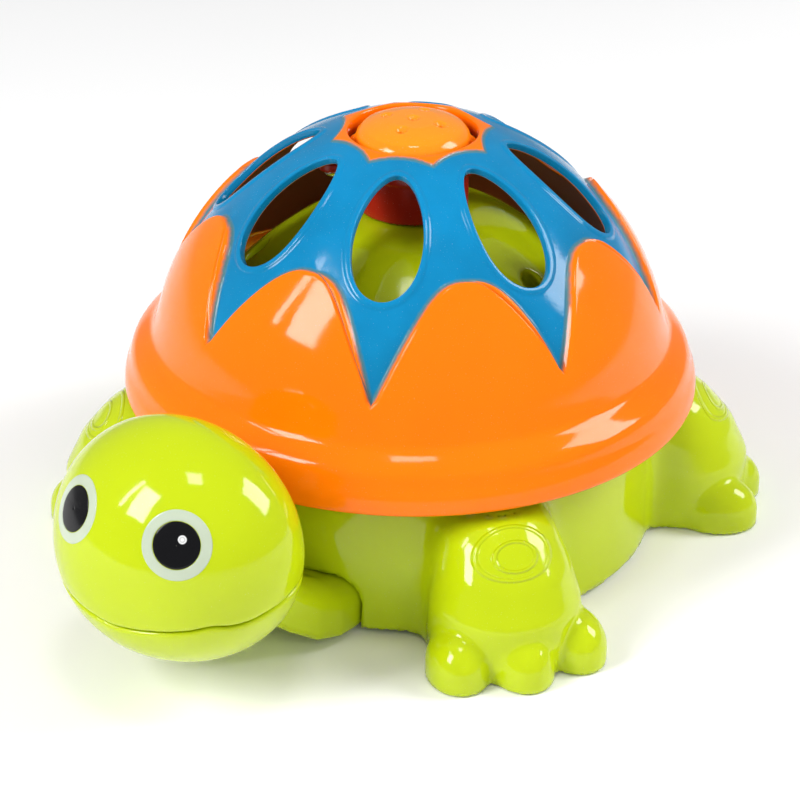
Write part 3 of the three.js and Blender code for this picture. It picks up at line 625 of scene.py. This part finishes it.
# The tongues from the painted field's edge down, then the skirt, and the inner face back up.
def skirtParts():
    outlines = [sectorOutline(k) for k in range(8)]
    n = shell["acrossTeeth"]
    A = np.concatenate([np.concatenate([a[-n:], a[:n]]) for a, s in outlines])
    S = np.concatenate([np.concatenate([s[-n:], s[:n]]) for a, s in outlines])
    wide = np.concatenate([A[-2:] - 2 * math.pi, A, A[:2] + 2 * math.pi])
    slopeA = (wide[3:-1] - wide[1:-3]) * radiusAlong(S)
    slopeS = (np.roll(S, -1) - np.roll(S, 1))
    size = np.hypot(slopeA, slopeS)
    downA, downS = slopeS / size, -slopeA / size
    tip = np.zeros(len(A), bool)
    tip[n::2 * n] = True
    top = np.zeros(len(A), bool)
    top[0::2 * n] = True
    downA[tip | top], downS[tip | top] = 0, -1
    steps = [0.0, 0.35, 0.75, 1.15, 1.6, 2.2]
    rowsA = [A + downA * e / radiusAlong(S) for e in steps]
    rowsS = [S + downS * e for e in steps]
    order = np.argsort(rowsA[-1])
    even = np.linspace(0, 2 * math.pi, len(A), endpoint=False)
    lowS = alongAtHeight(20.0)
    count = 16
    for i in range(1, count + 1):
        w = i / count
        rowsA.append(rowsA[len(steps) - 1] * (1 - w) + even * w)
        rowsS.append(rowsS[len(steps) - 1] * (1 - w) + lowS * w)
    rowsA, rowsS = np.array(rowsA), np.array(rowsS)
    lineA = np.linspace(-0.1, 2 * math.pi + 0.1, 1400)
    toField = -surfaceDistance(rowsA, rowsS, lineA, tongueEdge(lineA))
    toField[0] = 0
    height = liftedHeight(np.full(rowsA.shape, 9.0), toField, np.full(rowsA.shape, 9.0))
    tongue = domePoint(rowsA, rowsS, height)
    last = tongue[-1]
    lowR, lowZ = np.hypot(last[:, 0], last[:, 1]).mean(), last[:, 2].mean() - rimZ
    line = skirtLine + np.linspace(1, 0, len(skirtLine))[:, None] ** 3 * (np.array([lowR, lowZ]) - skirtLine[0])
    line[0] = lowR, lowZ
    turned = np.stack([
        line[:, :1] * np.sin(even), -line[:, :1] * np.cos(even), np.broadcast_to(line[:, 1:] + rimZ, (len(line), len(A)))], -1)
    innerA = np.linspace(0, 1, 9)[:, None]
    startS = alongAtHeight(22.0)
    inA = even * (1 - innerA) + A * innerA
    inS = startS * (1 - innerA) + S * innerA
    inside = domePoint(inA, inS, np.full(inA.shape, -shell["wall"]))
    inside[0] = turned[-1] * 0.5 + inside[0] * 0.5
    turned[-1] = inside[0]
    parts = []
    # The inner face gets -90, which the shader turns into painted shade, dark brown.
    for grid, paint in ((tongue, toField), (turned, np.full(turned.shape[:2], -4.0)), (inside, np.full(inside.shape[:2], -90.0))):
        parts.append((grid.reshape(-1, 3), gridFaces(*grid.shape[:2], closedColumns=True, flip=True), paint.ravel()))
    return parts


# The raised star round the spray cap, the rolled edge of its hole and a short sleeve, then back out underneath.
def starParts():
    outlines = [sectorOutline(k) for k in range(8)]
    m = shell["acrossTeeth"] + shell["alongWebs"]
    A = np.concatenate([a[m:m + 2 * shell["acrossStar"]][::-1] for a, s in outlines])
    S = np.concatenate([s[m:m + 2 * shell["acrossStar"]][::-1] for a, s in outlines])
    holeS = alongAtRadius(shell["holeRadius"] + 0.7)
    w = np.array([0, 0.12, 0.3, 0.5, 0.75, 1.0])[:, None]
    rowsA, rowsS = A + 0 * w, S * (1 - w) + holeS * w
    lineA = np.linspace(-0.2, 2 * math.pi + 0.2, 700)
    toStar = -surfaceDistance(rowsA, rowsS, lineA, starEdge(lineA))
    toStar[0] = 0
    top = domePoint(rowsA, rowsS, liftedHeight(np.full(rowsA.shape, 9.0), np.full(rowsA.shape, 9.0), toStar))
    edge = top[-1]
    z = edge[:, 2].mean() - rimZ
    hole = shell["holeRadius"]
    sleeve = np.array([(hole + 0.25, z - 0.25), (hole, z - 0.8), (hole, z - 2.4), (hole, z - shell["sleeve"]),
                       (hole + 0.7, z - shell["sleeve"] - 0.2), (hole + 1.5, z - shell["sleeve"]), (hole + 1.6, z - 3.0)])
    ring = np.stack([sleeve[:, :1] * np.sin(A), -sleeve[:, :1] * np.cos(A),
                     np.broadcast_to(sleeve[:, 1:] + rimZ, (len(sleeve), len(A)))], -1)
    ring = np.concatenate([edge[None], ring])
    under = domePoint(A[None], S[None], np.full((1, len(A)), -shell["wall"]))
    ring = np.concatenate([ring, under])
    parts = []
    for grid, paint in ((top, toStar), (ring, np.full(ring.shape[:2], -4.0))):
        parts.append((grid.reshape(-1, 3), gridFaces(*grid.shape[:2], closedColumns=True), paint.ravel()))
    return parts


# The attribute holds the distance to the paint edge, and -90 on the inner face, where the shader paints shade.
shellPoints, shellFaces, shellPaintAndShade = shellMesh()
turtleShell = makePiece("turtleShell", shellPoints, shellFaces, "spinner", "orange_plastic", paintedShellFinish(),
                        "turtle_shell", values={"paintEdgeAndInnerShade": shellPaintAndShade})


# Body: a domed tub with four legs grown out of it, moulded as one thin wall that is open underneath.
body = {
    "step": 1.4, "wall": 2.4, "legWall": 4.4, "fillet": 9.0, "toeFillet": 1.7, "legAngles": (52.0, 129.0, -129.0, -52.0),
    "toeSpread": 10.3, "toeReach": 98.2, "toeRadii": (12.4, 9.6, 10.8), "toeHeight": 4.5, "middleToe": 3.0,
    "archHalf": 29.0, "archHeight": 18.0, "archCorner": 9.0, "riserHole": 8.0, "inletHole": 9.4, "inletHeight": 20.0,
    "postCircle": 57.0, "postAngles": (40, 140, -140, -40), "postRadius": 4.2, "postLow": 6.7,
    "recesses": ((90.0, 43.2), (-64.0, 47.8)), "recessRadius": 3.4, "recessFloor": 74.0, "cupRadius": 5.2,
}
bodyLine = smoothLine([
    (77.0, -12), (76.6, 1), (75.8, 24), (74.2, 38), (72, 47), (69, 58), (63.4, 70), (56.4, 79), (48.6, 86.6), (40.4, 93.4),
    (33.2, 98.6), (26.6, 102.4), (19.6, 104.6), (17, 105), (0, 105)], 1.2, 46)
bodyOutline = np.concatenate([bodyLine, [(0.0, -12.0)]])
legRows = np.array([  # height, distance out, half depth, half width
    (-14, 86.8, 19.9, 22.4), (0, 86.8, 19.9, 22.4), (8, 87.4, 20.6, 23.0), (18, 87, 21.2, 22.4), (29, 83.8, 19.2, 19.8),
    (38, 79.8, 15.6, 16.6), (43, 78, 11, 12.6), (45.2, 77, 5.6, 7.2), (46.2, 76.6, 1.0, 1.4), (60, 76.6, 0.2, 0.3)])
legHeights = np.linspace(-14, 60, 300)
legLine = np.stack([np.convolve(np.pad(np.interp(legHeights, legRows[:, 0], legRows[:, k]), 8, "edge"),
                                np.hanning(19)[1:-1] / np.hanning(19).sum(), "valid") for k in (1, 2, 3)], 1)


def spotAt(angle, radius):
    a = math.radians(angle)
    return radius * math.sin(a), -radius * math.cos(a)


# Leg: an upright stack of ovals whose size and reach follow the height, with three balls for toes.
def legField(p, angle):
    a = math.radians(angle)
    across = math.cos(a) * p[..., 0] + math.sin(a) * p[..., 1]
    out = math.sin(a) * p[..., 0] - math.cos(a) * p[..., 1]
    z = p[..., 2]
    centre, depth, width = (np.interp(z, legHeights, legLine[:, k]) for k in range(3))
    reach = np.sqrt(((out - centre) / depth) ** 2 + (across / width) ** 2)
    field = (reach - 1) * np.minimum(depth, width)
    local = np.stack([across, out, z], -1)
    along, wide, tall = body["toeRadii"]
    for turn in (-1, 0, 1):
        b = math.radians(turn * body["toeSpread"])
        reachOut = body["toeReach"] + (body["middleToe"] if turn == 0 else 0)
        side, forth = reachOut * math.sin(b), reachOut * math.cos(b)
        offset = local - [side, forth, body["toeHeight"]]
        q = np.stack([(offset[..., 0] * math.cos(b) - offset[..., 1] * math.sin(b)),
                      (offset[..., 0] * math.sin(b) + offset[..., 1] * math.cos(b)), np.maximum(offset[..., 2], 0)], -1)
        field = join(field, ball(q, (0, 0, 0), (wide, along, tall)), body["toeFillet"])
    return field


def bodySkins(p):  # outer skin and the hollow inside it
    outer = turnedField(p, bodyOutline)
    inner = outer + body["wall"]
    for angle in body["legAngles"]:
        leg = legField(p, angle)
        outer = join(outer, leg, body["fillet"])
        inner = join(inner, leg + body["legWall"], body["fillet"])
    return outer, inner


def bodySkin(p):
    return bodySkins(p)[0]


def archField(p, grow=0.0):  # rounded doorway through the front wall
    corner = body["archCorner"] + grow
    dx = np.abs(p[..., 0]) - (body["archHalf"] + grow - corner)
    dz = p[..., 2] - (body["archHeight"] + grow - corner)
    side = np.hypot(np.maximum(dx, 0), np.maximum(dz, 0)) + np.minimum(np.maximum(dx, dz), 0) - corner
    return np.maximum(side, np.maximum(p[..., 1] + 60, -112 - p[..., 1]))


def bodyField(p):
    skin, hollow = bodySkins(p)
    field = np.maximum(skin, -hollow)
    for angle in body["postAngles"]:
        x, y = spotAt(angle, body["postCircle"])
        post = rodField(p, x, y, body["postRadius"], body["postLow"], 110)
        field = np.minimum(field, np.maximum(post, skin + 0.4))
    for angle, radius in body["recesses"]:
        x, y = spotAt(angle, radius)
        cup = rodField(p, x, y, body["cupRadius"], body["recessFloor"] - 2, 120)
        field = np.minimum(field, np.maximum(cup, skin + 0.1))
        field = trim(field, -rodField(p, x, y, body["recessRadius"], body["recessFloor"], 125), 0.6)
        field = np.maximum(field, -rodField(p, x, y, 1.7, 60, 125))
    field = trim(field, -archField(p), 0.9)
    field = trim(field, -rodField(p, 0, 0, body["riserHole"], 90, 120), 0.7)
    inlet = np.stack([p[..., 0], p[..., 2] - body["inletHeight"], p[..., 1]], -1)
    field = trim(field, -rodField(inlet, 0, 0, body["inletHole"], 60, 95), 0.7)
    radius = np.hypot(p[..., 0], p[..., 1])
    floor = 1 - np.clip((radius - 76.5) / 3, 0, 1)
    return trim(field, floor - p[..., 2], 0.8)


# Lime plastic with a low ringed disc on each leg's slope; the four legs fold onto one by the signs of x and y.
def legPlasticFinish():
    material, tree, place = startMaterial("bodyPlastic")
    at = addNode(tree, "ShaderNodeSeparateXYZ", {}, {0: place})
    x = Signal(tree, at.socket.node.outputs[0]).maths("ABSOLUTE")
    y = (Signal(tree, at.socket.node.outputs[1]) - axisY * 0.001).maths("ABSOLUTE")
    z = Signal(tree, at.socket.node.outputs[2])
    a, tilt = math.radians(51.5), math.radians(47)
    out = x * math.sin(a) + y * math.cos(a)
    side = x * math.cos(a) - y * math.sin(a)
    slope = ((z - 0.0364) * math.sin(tilt) - (out - 0.0947) * math.cos(tilt)) * 1.4

    def ring(shiftSide, shiftSlope, radius, half):
        dx, dy = side - shiftSide, slope - shiftSlope
        away = ((dx * dx + dy * dy) ** 0.5 - radius).maths("ABSOLUTE")
        return away.ramp(half * 0.2, half, 1.0, 0.0)

    rings = ring(0, 0, 0.0112, 0.0011).maths("MAXIMUM", ring(0.0002, -0.0016, 0.0062, 0.001))
    pad = ((side * side + slope * slope) ** 0.5).ramp(0.0098, 0.0112, 1.0, 0.0)
    onLeg = out.ramp(0.078, 0.082) * z.ramp(0.012, 0.018)
    tone, rough, relief = limeSignals(tree, place)
    height = bump(tree, (rings + pad * 0.3) * onLeg, 0.8, 0.0006, relief)
    return finish(material, tree, {
        "Base Color": tone, "Roughness": rough, "Normal": height, "Subsurface Weight": 0.12,
        "Subsurface Radius": (0.004, 0.003, 0.001), "Subsurface Scale": 1.0, "Specular IOR Level": 0.4})


def limeSignals(tree, place):
    slow = noise(tree, place, 14.0, 3.0)
    speck = noise(tree, place, 2600.0, 1.0).ramp(0.70, 0.78)
    tone = mixColour(tree, slow.ramp(0.3, 0.7), scaled(limeColour, 0.95), scaled(limeColour, 1.03))
    tone = mixColour(tree, speck * 0.10, tone, (0.9, 0.9, 0.85))
    rough = noise(tree, place, 60.0, 4.0).ramp(0.45, 0.75) * 0.06 + 0.07 + speck * 0.2
    relief = bump(tree, noise(tree, place, 240.0, 2.0) + noise(tree, place, 900.0) * 0.25, 0.05, 0.0004)
    return tone, rough, relief


bodyPoints, bodyFaces = meshField(bodyField, (-103, -88, -2), (103, 88, 107), body["step"])
makePiece("bodyTub", bodyPoints, bodyFaces, "base", "lime_plastic", legPlasticFinish(), "body_top")


# Head: an egg with a fuller snout, hollow, and parted along the smile into a head and a lower jaw.
head = {
    "step": 0.95, "centre": (0.0, -117.5, 46.5), "radii": (38.2, 32.0, 35.6), "rearDepth": 26.4, "wall": 2.4,
    "snout": 0.1, "jaw": 0.05, "eye": (17.01, -141.1, 60.9), "eyeRadius": 9.8, "pupilRadius": 6.7,
    "smile": ((0, 33.2), (20, 34.4), (36, 35.4), (44, 36.2), (50, 37.4), (55, 36.9), (60, 36.2), (68, 36.6), (75, 37.6),
              (84, 38.8), (95, 40.6), (120, 42.5), (180, 43.0)),  # height by the angle to either side
    "lipGap": 0.5, "jawScrews": ((-15.0, -128.0), (15.0, -128.0)),
}
neckRows = np.array([  # distance forward, half width, low edge, high edge, radius of the upper corners
    (58, 28.3, 1.0, 17.3, 8.4), (72, 28.3, 1.0, 17.3, 8.4), (78, 27.9, 1.4, 19, 9), (86, 25.6, 3.4, 23, 9.6),
    (94, 21.8, 9, 29, 9.8), (101, 18, 15.5, 34, 9)])


def headSkin(p):
    q = (p - np.array(head["centre"])) / [head["radii"][0], head["radii"][1], head["radii"][2]]
    z = q[..., 2]
    forward = np.maximum(-q[..., 1], 0)
    full = head["snout"] * np.maximum(0.45 - z, 1e-4)
    forward = (np.sqrt(1 + 4 * full * forward) - 1) / (2 * full)
    back = np.maximum(q[..., 1], 0) * head["radii"][1] / head["rearDepth"]
    x = q[..., 0] / (1 + head["jaw"] * np.maximum(-z, 0) * forward)
    return (np.sqrt(x ** 2 + forward ** 2 + back ** 2 + z ** 2 + 1e-9) - 1) * 32


def smileHeight(p):
    centre = head["centre"]
    turn = np.degrees(np.abs(np.arctan2(p[..., 0] - centre[0], centre[1] - p[..., 1])))
    table = np.array(head["smile"])
    fine = np.linspace(-180, 180, 721)
    heights = np.interp(np.abs(fine), table[:, 0], table[:, 1])
    heights = np.convolve(np.pad(heights, 8, "edge"), np.ones(17) / 17, "valid")
    return np.interp(turn, fine, heights)


def roundedSide(across, up, corner):
    return np.hypot(np.maximum(across, 0), np.maximum(up, 0)) + np.minimum(np.maximum(across, up), 0) - corner


def neckField(p, grow=0.0):  # arched section: well rounded above, square below
    forward = np.clip(-p[..., 1], 58, 101)
    width, low, high, corner = (np.interp(forward, neckRows[:, 0], neckRows[:, k]) for k in (1, 2, 3, 4))
    width, low, high = width + grow, low - grow, high + grow
    upper = roundedSide(np.abs(p[..., 0]) - width + corner, p[..., 2] - high + corner, corner)
    lower = roundedSide(np.abs(p[..., 0]) - width + 2, low + 2 - p[..., 2], 2)
    return np.maximum(np.maximum(upper, lower), np.maximum(-p[..., 1] - 101 - grow, p[..., 1] + 58 - grow))


def headWall(p):
    skin = headSkin(p)
    wall = np.maximum(skin, -(skin + head["wall"]))
    for x, y in head["jawScrews"]:
        wall = np.minimum(wall, np.maximum(rodField(p, x, y, 5.2, 5, 100), skin + 0.5))
    return np.maximum(wall, -neckField(p, 0.4))


def upperHeadField(p):
    return trim(headWall(p), smileHeight(p) + head["lipGap"] / 2 - p[..., 2], 1.1)


def jawField(p):
    field = trim(headWall(p), p[..., 2] - smileHeight(p) + head["lipGap"] / 2, 1.1)
    for x, y in head["jawScrews"]:
        field = np.maximum(field, -rodField(p, x, y, 3.6, 0, 27.3))
        field = np.maximum(field, -rodField(p, x, y, 1.8, 0, 60))
    return field


headPoints, headFaces = meshField(upperHeadField, (-40, -151.5, 30), (40, -89, 84), head["step"])
makePiece("headUpper", headPoints, headFaces, "base", "lime_plastic", limePlastic, "head_upper")
jawPoints, jawFaces = meshField(jawField, (-40, -151.5, 8.5), (40, -89, 47), head["step"])
makePiece("lowerJaw", jawPoints, jawFaces, "base", "lime_plastic", limePlastic, "lower_jaw")


# Disc or ring let into the head: a polar grid laid on the head's form, with a rounded edge and a flat back.
def eyePatch(side, inner, outer, proud, count=72):
    centre = np.array(head["eye"]) * [side, 1, 1]
    away = np.stack([(headSkin(centre + 0.05 * e) - headSkin(centre - 0.05 * e)) / 0.1 for e in np.eye(3)])
    normal = away / np.linalg.norm(away)
    right = np.cross([0, 0, 1.0], normal)
    right /= np.linalg.norm(right)
    up = np.cross(normal, right)
    turn = np.linspace(0, 2 * math.pi, count, endpoint=False)
    edge = 0.25
    rows = [(r, proud) for r in np.linspace(inner + edge, outer - edge, 14)]
    rows += [(outer - 0.08, proud - 0.06), (outer, proud - 0.25), (outer, -0.7)]
    rows += [(inner + 0.01, -0.7), (inner, proud - 0.25), (inner + 0.08, proud - 0.06)]
    radius = np.array([max(r, 0.01) for r, h in rows])[:, None]
    height = np.array([h for r, h in rows])[:, None]
    points = centre + radius[..., None] * (np.cos(turn)[:, None] * right + np.sin(turn)[:, None] * up)
    for step in range(4):
        slope = np.linalg.norm(away)
        points = points - ((headSkin(points) / slope - height)[..., None]) * normal
    return points.reshape(-1, 3), gridFaces(len(rows), count, closedRows=True, closedColumns=True)


# Glossy black with a small printed glint up and to the side of its middle.
def pupilFinish(name, side):
    material, tree, place = startMaterial(name)
    centre = (np.array(head["eye"]) * [side, 1, 1] + [0, axisY, 0] + [1.9, -0.2, 2.4]) * 0.001
    away = addNode(tree, "ShaderNodeVectorMath", {"operation": "DISTANCE"}, {0: place, 1: tuple(centre)}, output=1)
    glint = away.ramp(0.00105, 0.00135, 1.0, 0.0)
    ring = (away - 0.0007).maths("ABSOLUTE").ramp(0.0001, 0.0003, 1.0, 0.0)
    tone = mixColour(tree, glint, (0.004, 0.004, 0.005), (0.75, 0.76, 0.75))
    tone = mixColour(tree, ring * glint * 0.5, tone, (0.3, 0.3, 0.3))
    rough = noise(tree, place, 60.0, 4.0).ramp(0.45, 0.75) * 0.08 + 0.1
    relief = bump(tree, noise(tree, place, 300.0, 2.0), 0.04, 0.0003)
    return finish(material, tree, {"Base Color": tone, "Roughness": rough, "Normal": relief, "Specular IOR Level": 0.25})


for sideName, side in (("left", 1), ("right", -1)):
    ring = eyePatch(side, head["pupilRadius"], head["eyeRadius"], 0.12)
    makePiece(sideName + "EyeWhite", *ring, "base", "eye_white", eyeWhite, sideName + "_eye_white")
    disc = eyePatch(side, 0.0, head["pupilRadius"] - 0.05, 0.16)
    makePiece(sideName + "EyePupil", *disc, "base", "eye_black", pupilFinish(sideName + "Pupil", side),
              sideName + "_eye_pupil")


def neckShape(p):
    tab = np.stack([np.abs(p[..., 0]) - 22, np.abs(p[..., 1] + 50) - 12, np.abs(p[..., 2] - 8.2) - 1.5], -1).max(-1)
    return np.minimum(neckField(p), tab)


neckPoints, neckFaces = meshField(neckShape, (-30, -103, 0), (30, -36, 36), 0.9 * coarse)
makePiece("neckTube", neckPoints, neckFaces, "base", "lime_plastic", limePlastic, "neck")


# Spray cap: a low domed button with countersunk spray holes and two ball lugs.
cap = {"step": 0.42, "radius": 16.4, "bottom": 122.3, "holes": (10, 100, 190, 280), "holeCircle": 9.0, "holeRadius": 0.95,
       "sinkRadius": 2.3, "lugs": (123, -57), "lugCircle": 17.2, "lugRadius": 1.9, "lugHeight": 126.0}
capLine = smoothLine([
    (14.4, 122.4), (14.6, 122.3), (17.1, 122.3), (17.4, 122.6), (17.4, 127.2), (17.0, 129.0), (15.2, 131), (12, 132.3),
    (7.6, 133.35), (0, 133.65)], 0.5, 44)
capOutline = np.concatenate([capLine, [(0, 131.4), (11, 129.9), (14.2, 127.4)]])


def capField(p):
    field = turnedField(p, capOutline)
    for angle in cap["lugs"]:
        x, y = spotAt(angle, cap["lugCircle"])
        field = join(field, ball(p, (x, y, cap["lugHeight"]), (cap["lugRadius"],) * 3), 0.8)
    for x, y in [(0, 0)] + [spotAt(angle, cap["holeCircle"]) for angle in cap["holes"]]:
        top = 133.65 - 0.0062 * (x * x + y * y)
        away = np.hypot(p[..., 0] - x, p[..., 1] - y)
        sink = (away - cap["sinkRadius"] * 0.5 - (p[..., 2] - top + 0.9) * 0.9) * 0.74
        sink = np.maximum(sink, top - 1.4 - p[..., 2])
        field = trim(field, -np.minimum(sink, away - cap["holeRadius"]), 0.35)
    return field


capPoints, capFaces = meshField(capField, (-20, -20, 121), (20, 20, 135), cap["step"] * coarse)
makePiece("sprayCap", capPoints, capFaces, "spinner", "orange_plastic", capPlastic, "spray_cap")


# Ring turned about the vertical or, for the hose parts, about a line towards the rear at the inlet's height.
def turnedPiece(name, line, body_, slot, material, node, count=96, reach=0.18, rows=110, rearward=False, shape=None):
    line = smoothLine([*line, line[0]], reach, rows + 1)[:-1]
    turn = np.linspace(0, 2 * math.pi, count, endpoint=False)
    r, z = line[:, :1] + 0 * turn, line[:, 1:] + 0 * turn
    if shape:
        r = shape(r, z, turn)
    points = np.stack([r * np.cos(turn), r * np.sin(turn), z], -1)
    if rearward:
        points = np.stack([points[..., 0], points[..., 2], body["inletHeight"] - points[..., 1]], -1)
    makePiece(name, points.reshape(-1, 3), gridFaces(*r.shape, closedRows=True, closedColumns=True), body_, slot, material, node)


turnedPiece("retainer", [(7.4, 108), (7.4, 106.3), (13.5, 106.3), (13.5, 109.5), (7.4, 109.5)], "spinner", "pale_plastic",
            palePlastic, "rotor_retainer")
turnedPiece("thrustWasher", [(7.4, 112.8), (7.4, 112.3), (10.4, 112.3), (10.4, 113.3), (7.4, 113.3)], "spinner",
            "pale_plastic", palePlastic, "thrust_washer", reach=0.1)
turnedPiece("riserTube", [
    (4.5, 60), (4.5, 27), (7, 27), (7, 98.5), (12, 98.5), (12, 101.5), (7, 101.5), (7, 110), (10.4, 110), (10.4, 112), (7, 112),
    (7, 118.5), (4.5, 118.5)], "base", "pale_plastic", palePlastic, "riser_tube", reach=0.3, rows=360)
turnedPiece("inletAdapter", [
    (4.5, 80), (4.5, 62.3), (7.3, 62.3), (7.3, 50), (9, 50), (9, 77.4), (13, 77.4), (13, 80.2), (9, 80.2), (9, 95), (11.6, 95),
    (11.6, 98), (4.5, 98)], "base", "orange_plastic", orangePlastic, "inlet_adapter", reach=0.25, rows=300, rearward=True)


# Nut: flutes for the fingers outside and a raised helical thread inside the socket.
def nutShape(r, z, turn):
    flute = np.maximum(np.cos(12 * turn), 0) ** 3 * np.clip((z - 88.5) / 2, 0, 1) * np.clip((107.5 - z) / 2, 0, 1)
    r = np.where(r > 14.5, r - 1.05 * flute, r)
    inside = (r < 13.3) & (z > 96) & (z < 109.3)
    ridge = np.maximum(np.sin(turn - 2 * math.pi * z / 2.6), 0) * np.clip((z - 96) / 1.5, 0, 1) * np.clip((109.3 - z) / 1.5, 0, 1)
    return np.where(inside, r - 0.75 * ridge, r)


turnedPiece("swivelNut", [
    (9.5, 90), (9.5, 86), (15.3, 86), (16.5, 87.2), (16.5, 108.8), (15.7, 110), (13, 110), (13, 94.4), (9.5, 94.4)],
    "hose_coupling", "orange_plastic", orangePlastic, "swivel_nut", count=288, reach=0.3, rows=300, rearward=True, shape=nutShape)


# Red rotor under the cap, with four lugs that the shell is screwed to.
rotor = {"radius": 17.0, "bottom": 105.8, "top": 122.0, "flange": 20.0, "lugRadius": 4.6, "circle": 24.4,
         "angles": (45, 135, 225, 315), "step": 0.6}
rotorOutline = [(13.8, 105.8), (17, 105.8), (17, 118.6), (20, 119.4), (20, 122), (12, 122), (12, 118.4), (7.3, 118.4), (7.3, 117.6),
                (9.9, 117.6), (9.9, 115), (7.3, 115), (7.3, 113.6), (11, 113.6), (11, 109.8), (13.8, 109.8)]


def rotorField(p):
    field = turnedField(p, rotorOutline)
    for angle in rotor["angles"]:
        x, y = spotAt(angle, rotor["circle"])
        lug = np.maximum(rodField(p, x, y, rotor["lugRadius"], 119.4, rotor["top"]), 19 - np.hypot(p[..., 0], p[..., 1]))
        field = join(field, lug, 0.8)
        field = np.maximum(field, -rodField(p, x, y, 1.8, 100, 130))
    return field


rotorPoints, rotorFaces = meshField(rotorField, (-30, -30, 104.5), (30, 30, 123.5), rotor["step"] * coarse)
makePiece("rotorHub", rotorPoints, rotorFaces, "spinner", "red_plastic", redPlastic, "rotor_hub")


# Bright steel with fine turning marks and a little grime.
def steelFinish():
    material, tree, place = startMaterial("screwSteel")
    grain = noise(tree, place, 1500.0, 3.0)
    grime = noise(tree, place, 300.0, 3.0).ramp(0.5, 0.75)
    tone = mixColour(tree, grain, (0.55, 0.55, 0.54), (0.72, 0.71, 0.69))
    tone = mixColour(tree, grime * 0.4, tone, (0.2, 0.18, 0.15))
    return finish(material, tree, {"Base Color": tone, "Metallic": 1.0 - grime * 0.3, "Roughness": grime * 0.25 + 0.24,
                                   "Normal": bump(tree, grain, 0.12, 0.0001)})


# Matt black rubber with moulding grain and pale bloom.
def rubberFinish():
    material, tree, place = startMaterial("sealRubber")
    bloom = noise(tree, place, 120.0, 4.0).ramp(0.45, 0.75)
    tone = mixColour(tree, bloom, (0.012, 0.012, 0.013), (0.035, 0.035, 0.036))
    return finish(material, tree, {"Base Color": tone, "Roughness": bloom * 0.15 + 0.6,
                                   "Normal": bump(tree, noise(tree, place, 1400.0, 3.0), 0.2, 0.0002)})


steel, rubber = steelFinish(), rubberFinish()
turnedPiece("hoseWasher", [(5.2, 99.5), (5.2, 98.3), (12.4, 98.3), (12.4, 101), (5.2, 101)], "hose_coupling", "seal_rubber", rubber,
            "hose_washer", rearward=True)
ringTurn = np.linspace(0, 2 * math.pi, 25)[:-1]
turnedPiece("sealRing", [(8.5 + 1.05 * math.cos(t), 116.3 + 1.05 * math.sin(t)) for t in ringTurn], "spinner", "seal_rubber",
            rubber, "seal_ring", reach=0.05, rows=30)


# Screw: a pan head with a cross recess and a tapping thread; it is built head down with the head's underside at zero.
def screwField(p, headRadius, shank, length):
    r, z = np.hypot(p[..., 0], p[..., 1]), p[..., 2]
    field = turnedField(p, smoothLine([(0, -2), (headRadius * 0.66, -1.95), (headRadius * 0.9, -1.4), (headRadius, -0.6),
                                       (headRadius, 0), (0, 0)], 0.15, 24))
    turn = np.arctan2(p[..., 1], p[..., 0])
    thread = 0.28 * np.cos(turn - 2 * math.pi * z / 1.3)
    taper = np.clip((length - z) / 1.6, 0, 1)
    rod = np.maximum((r - (shank - 0.15 + thread * 0.6) * taper) * 0.7, np.maximum(z - length, -z - 0.5))
    field = np.minimum(field, rod)
    arm = np.minimum(np.maximum(np.abs(p[..., 0]) - 0.42, np.abs(p[..., 1]) - 1.7),
                     np.maximum(np.abs(p[..., 1]) - 0.42, np.abs(p[..., 0]) - 1.7))
    return trim(field, -np.maximum(arm, z + 0.75), 0.15)


def addScrews(nodes, size, spots, base, down=False):
    headRadius, shank, length = size
    step = 0.26 * coarse
    points, faces = meshField(lambda p: screwField(p, *size), (-headRadius - 0.6, -headRadius - 0.6, -2.7),
                              (headRadius + 0.6, headRadius + 0.6, length + 0.6), step)
    if down:
        points = points * [1, -1, -1]
    for node, (x, y) in zip(nodes, spots):
        name = "".join(w.capitalize() if i else w for i, w in enumerate(node.split("_")))
        makePiece(name, points + [x, y, base], faces, "spinner" if "shell" in node else "base", "screw_steel", steel, node)


addScrews(["shell_screw_%d" % (i + 1) for i in range(4)], (2.8, 1.05, 5.6), [spotAt(a, rotor["circle"]) for a in rotor["angles"]], 119.1)
addScrews(["base_screw_%d" % (i + 1) for i in range(4)], (3.2, 1.1, 11), [spotAt(a, body["postCircle"]) for a in body["postAngles"]], 3.7)
addScrews(["deck_screw_1", "deck_screw_2"], (2.9, 1.1, 11), [spotAt(a, r) for a, r in body["recesses"]], 74.3, down=True)
addScrews(["neck_screw_1", "neck_screw_2"], (3.2, 1.1, 4.6), [(-14, -46), (14, -46)], 3.7)
addScrews(["jaw_screw_1", "jaw_screw_2"], (3.0, 1.1, 14), head["jawScrews"], 27.0)

# The remaining frame nodes keep their shapes.
for node, material in (("base_plate", limePlastic), ("inlet_elbow", palePlastic)):
    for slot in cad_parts[node].material_slots:
        slot.material = material
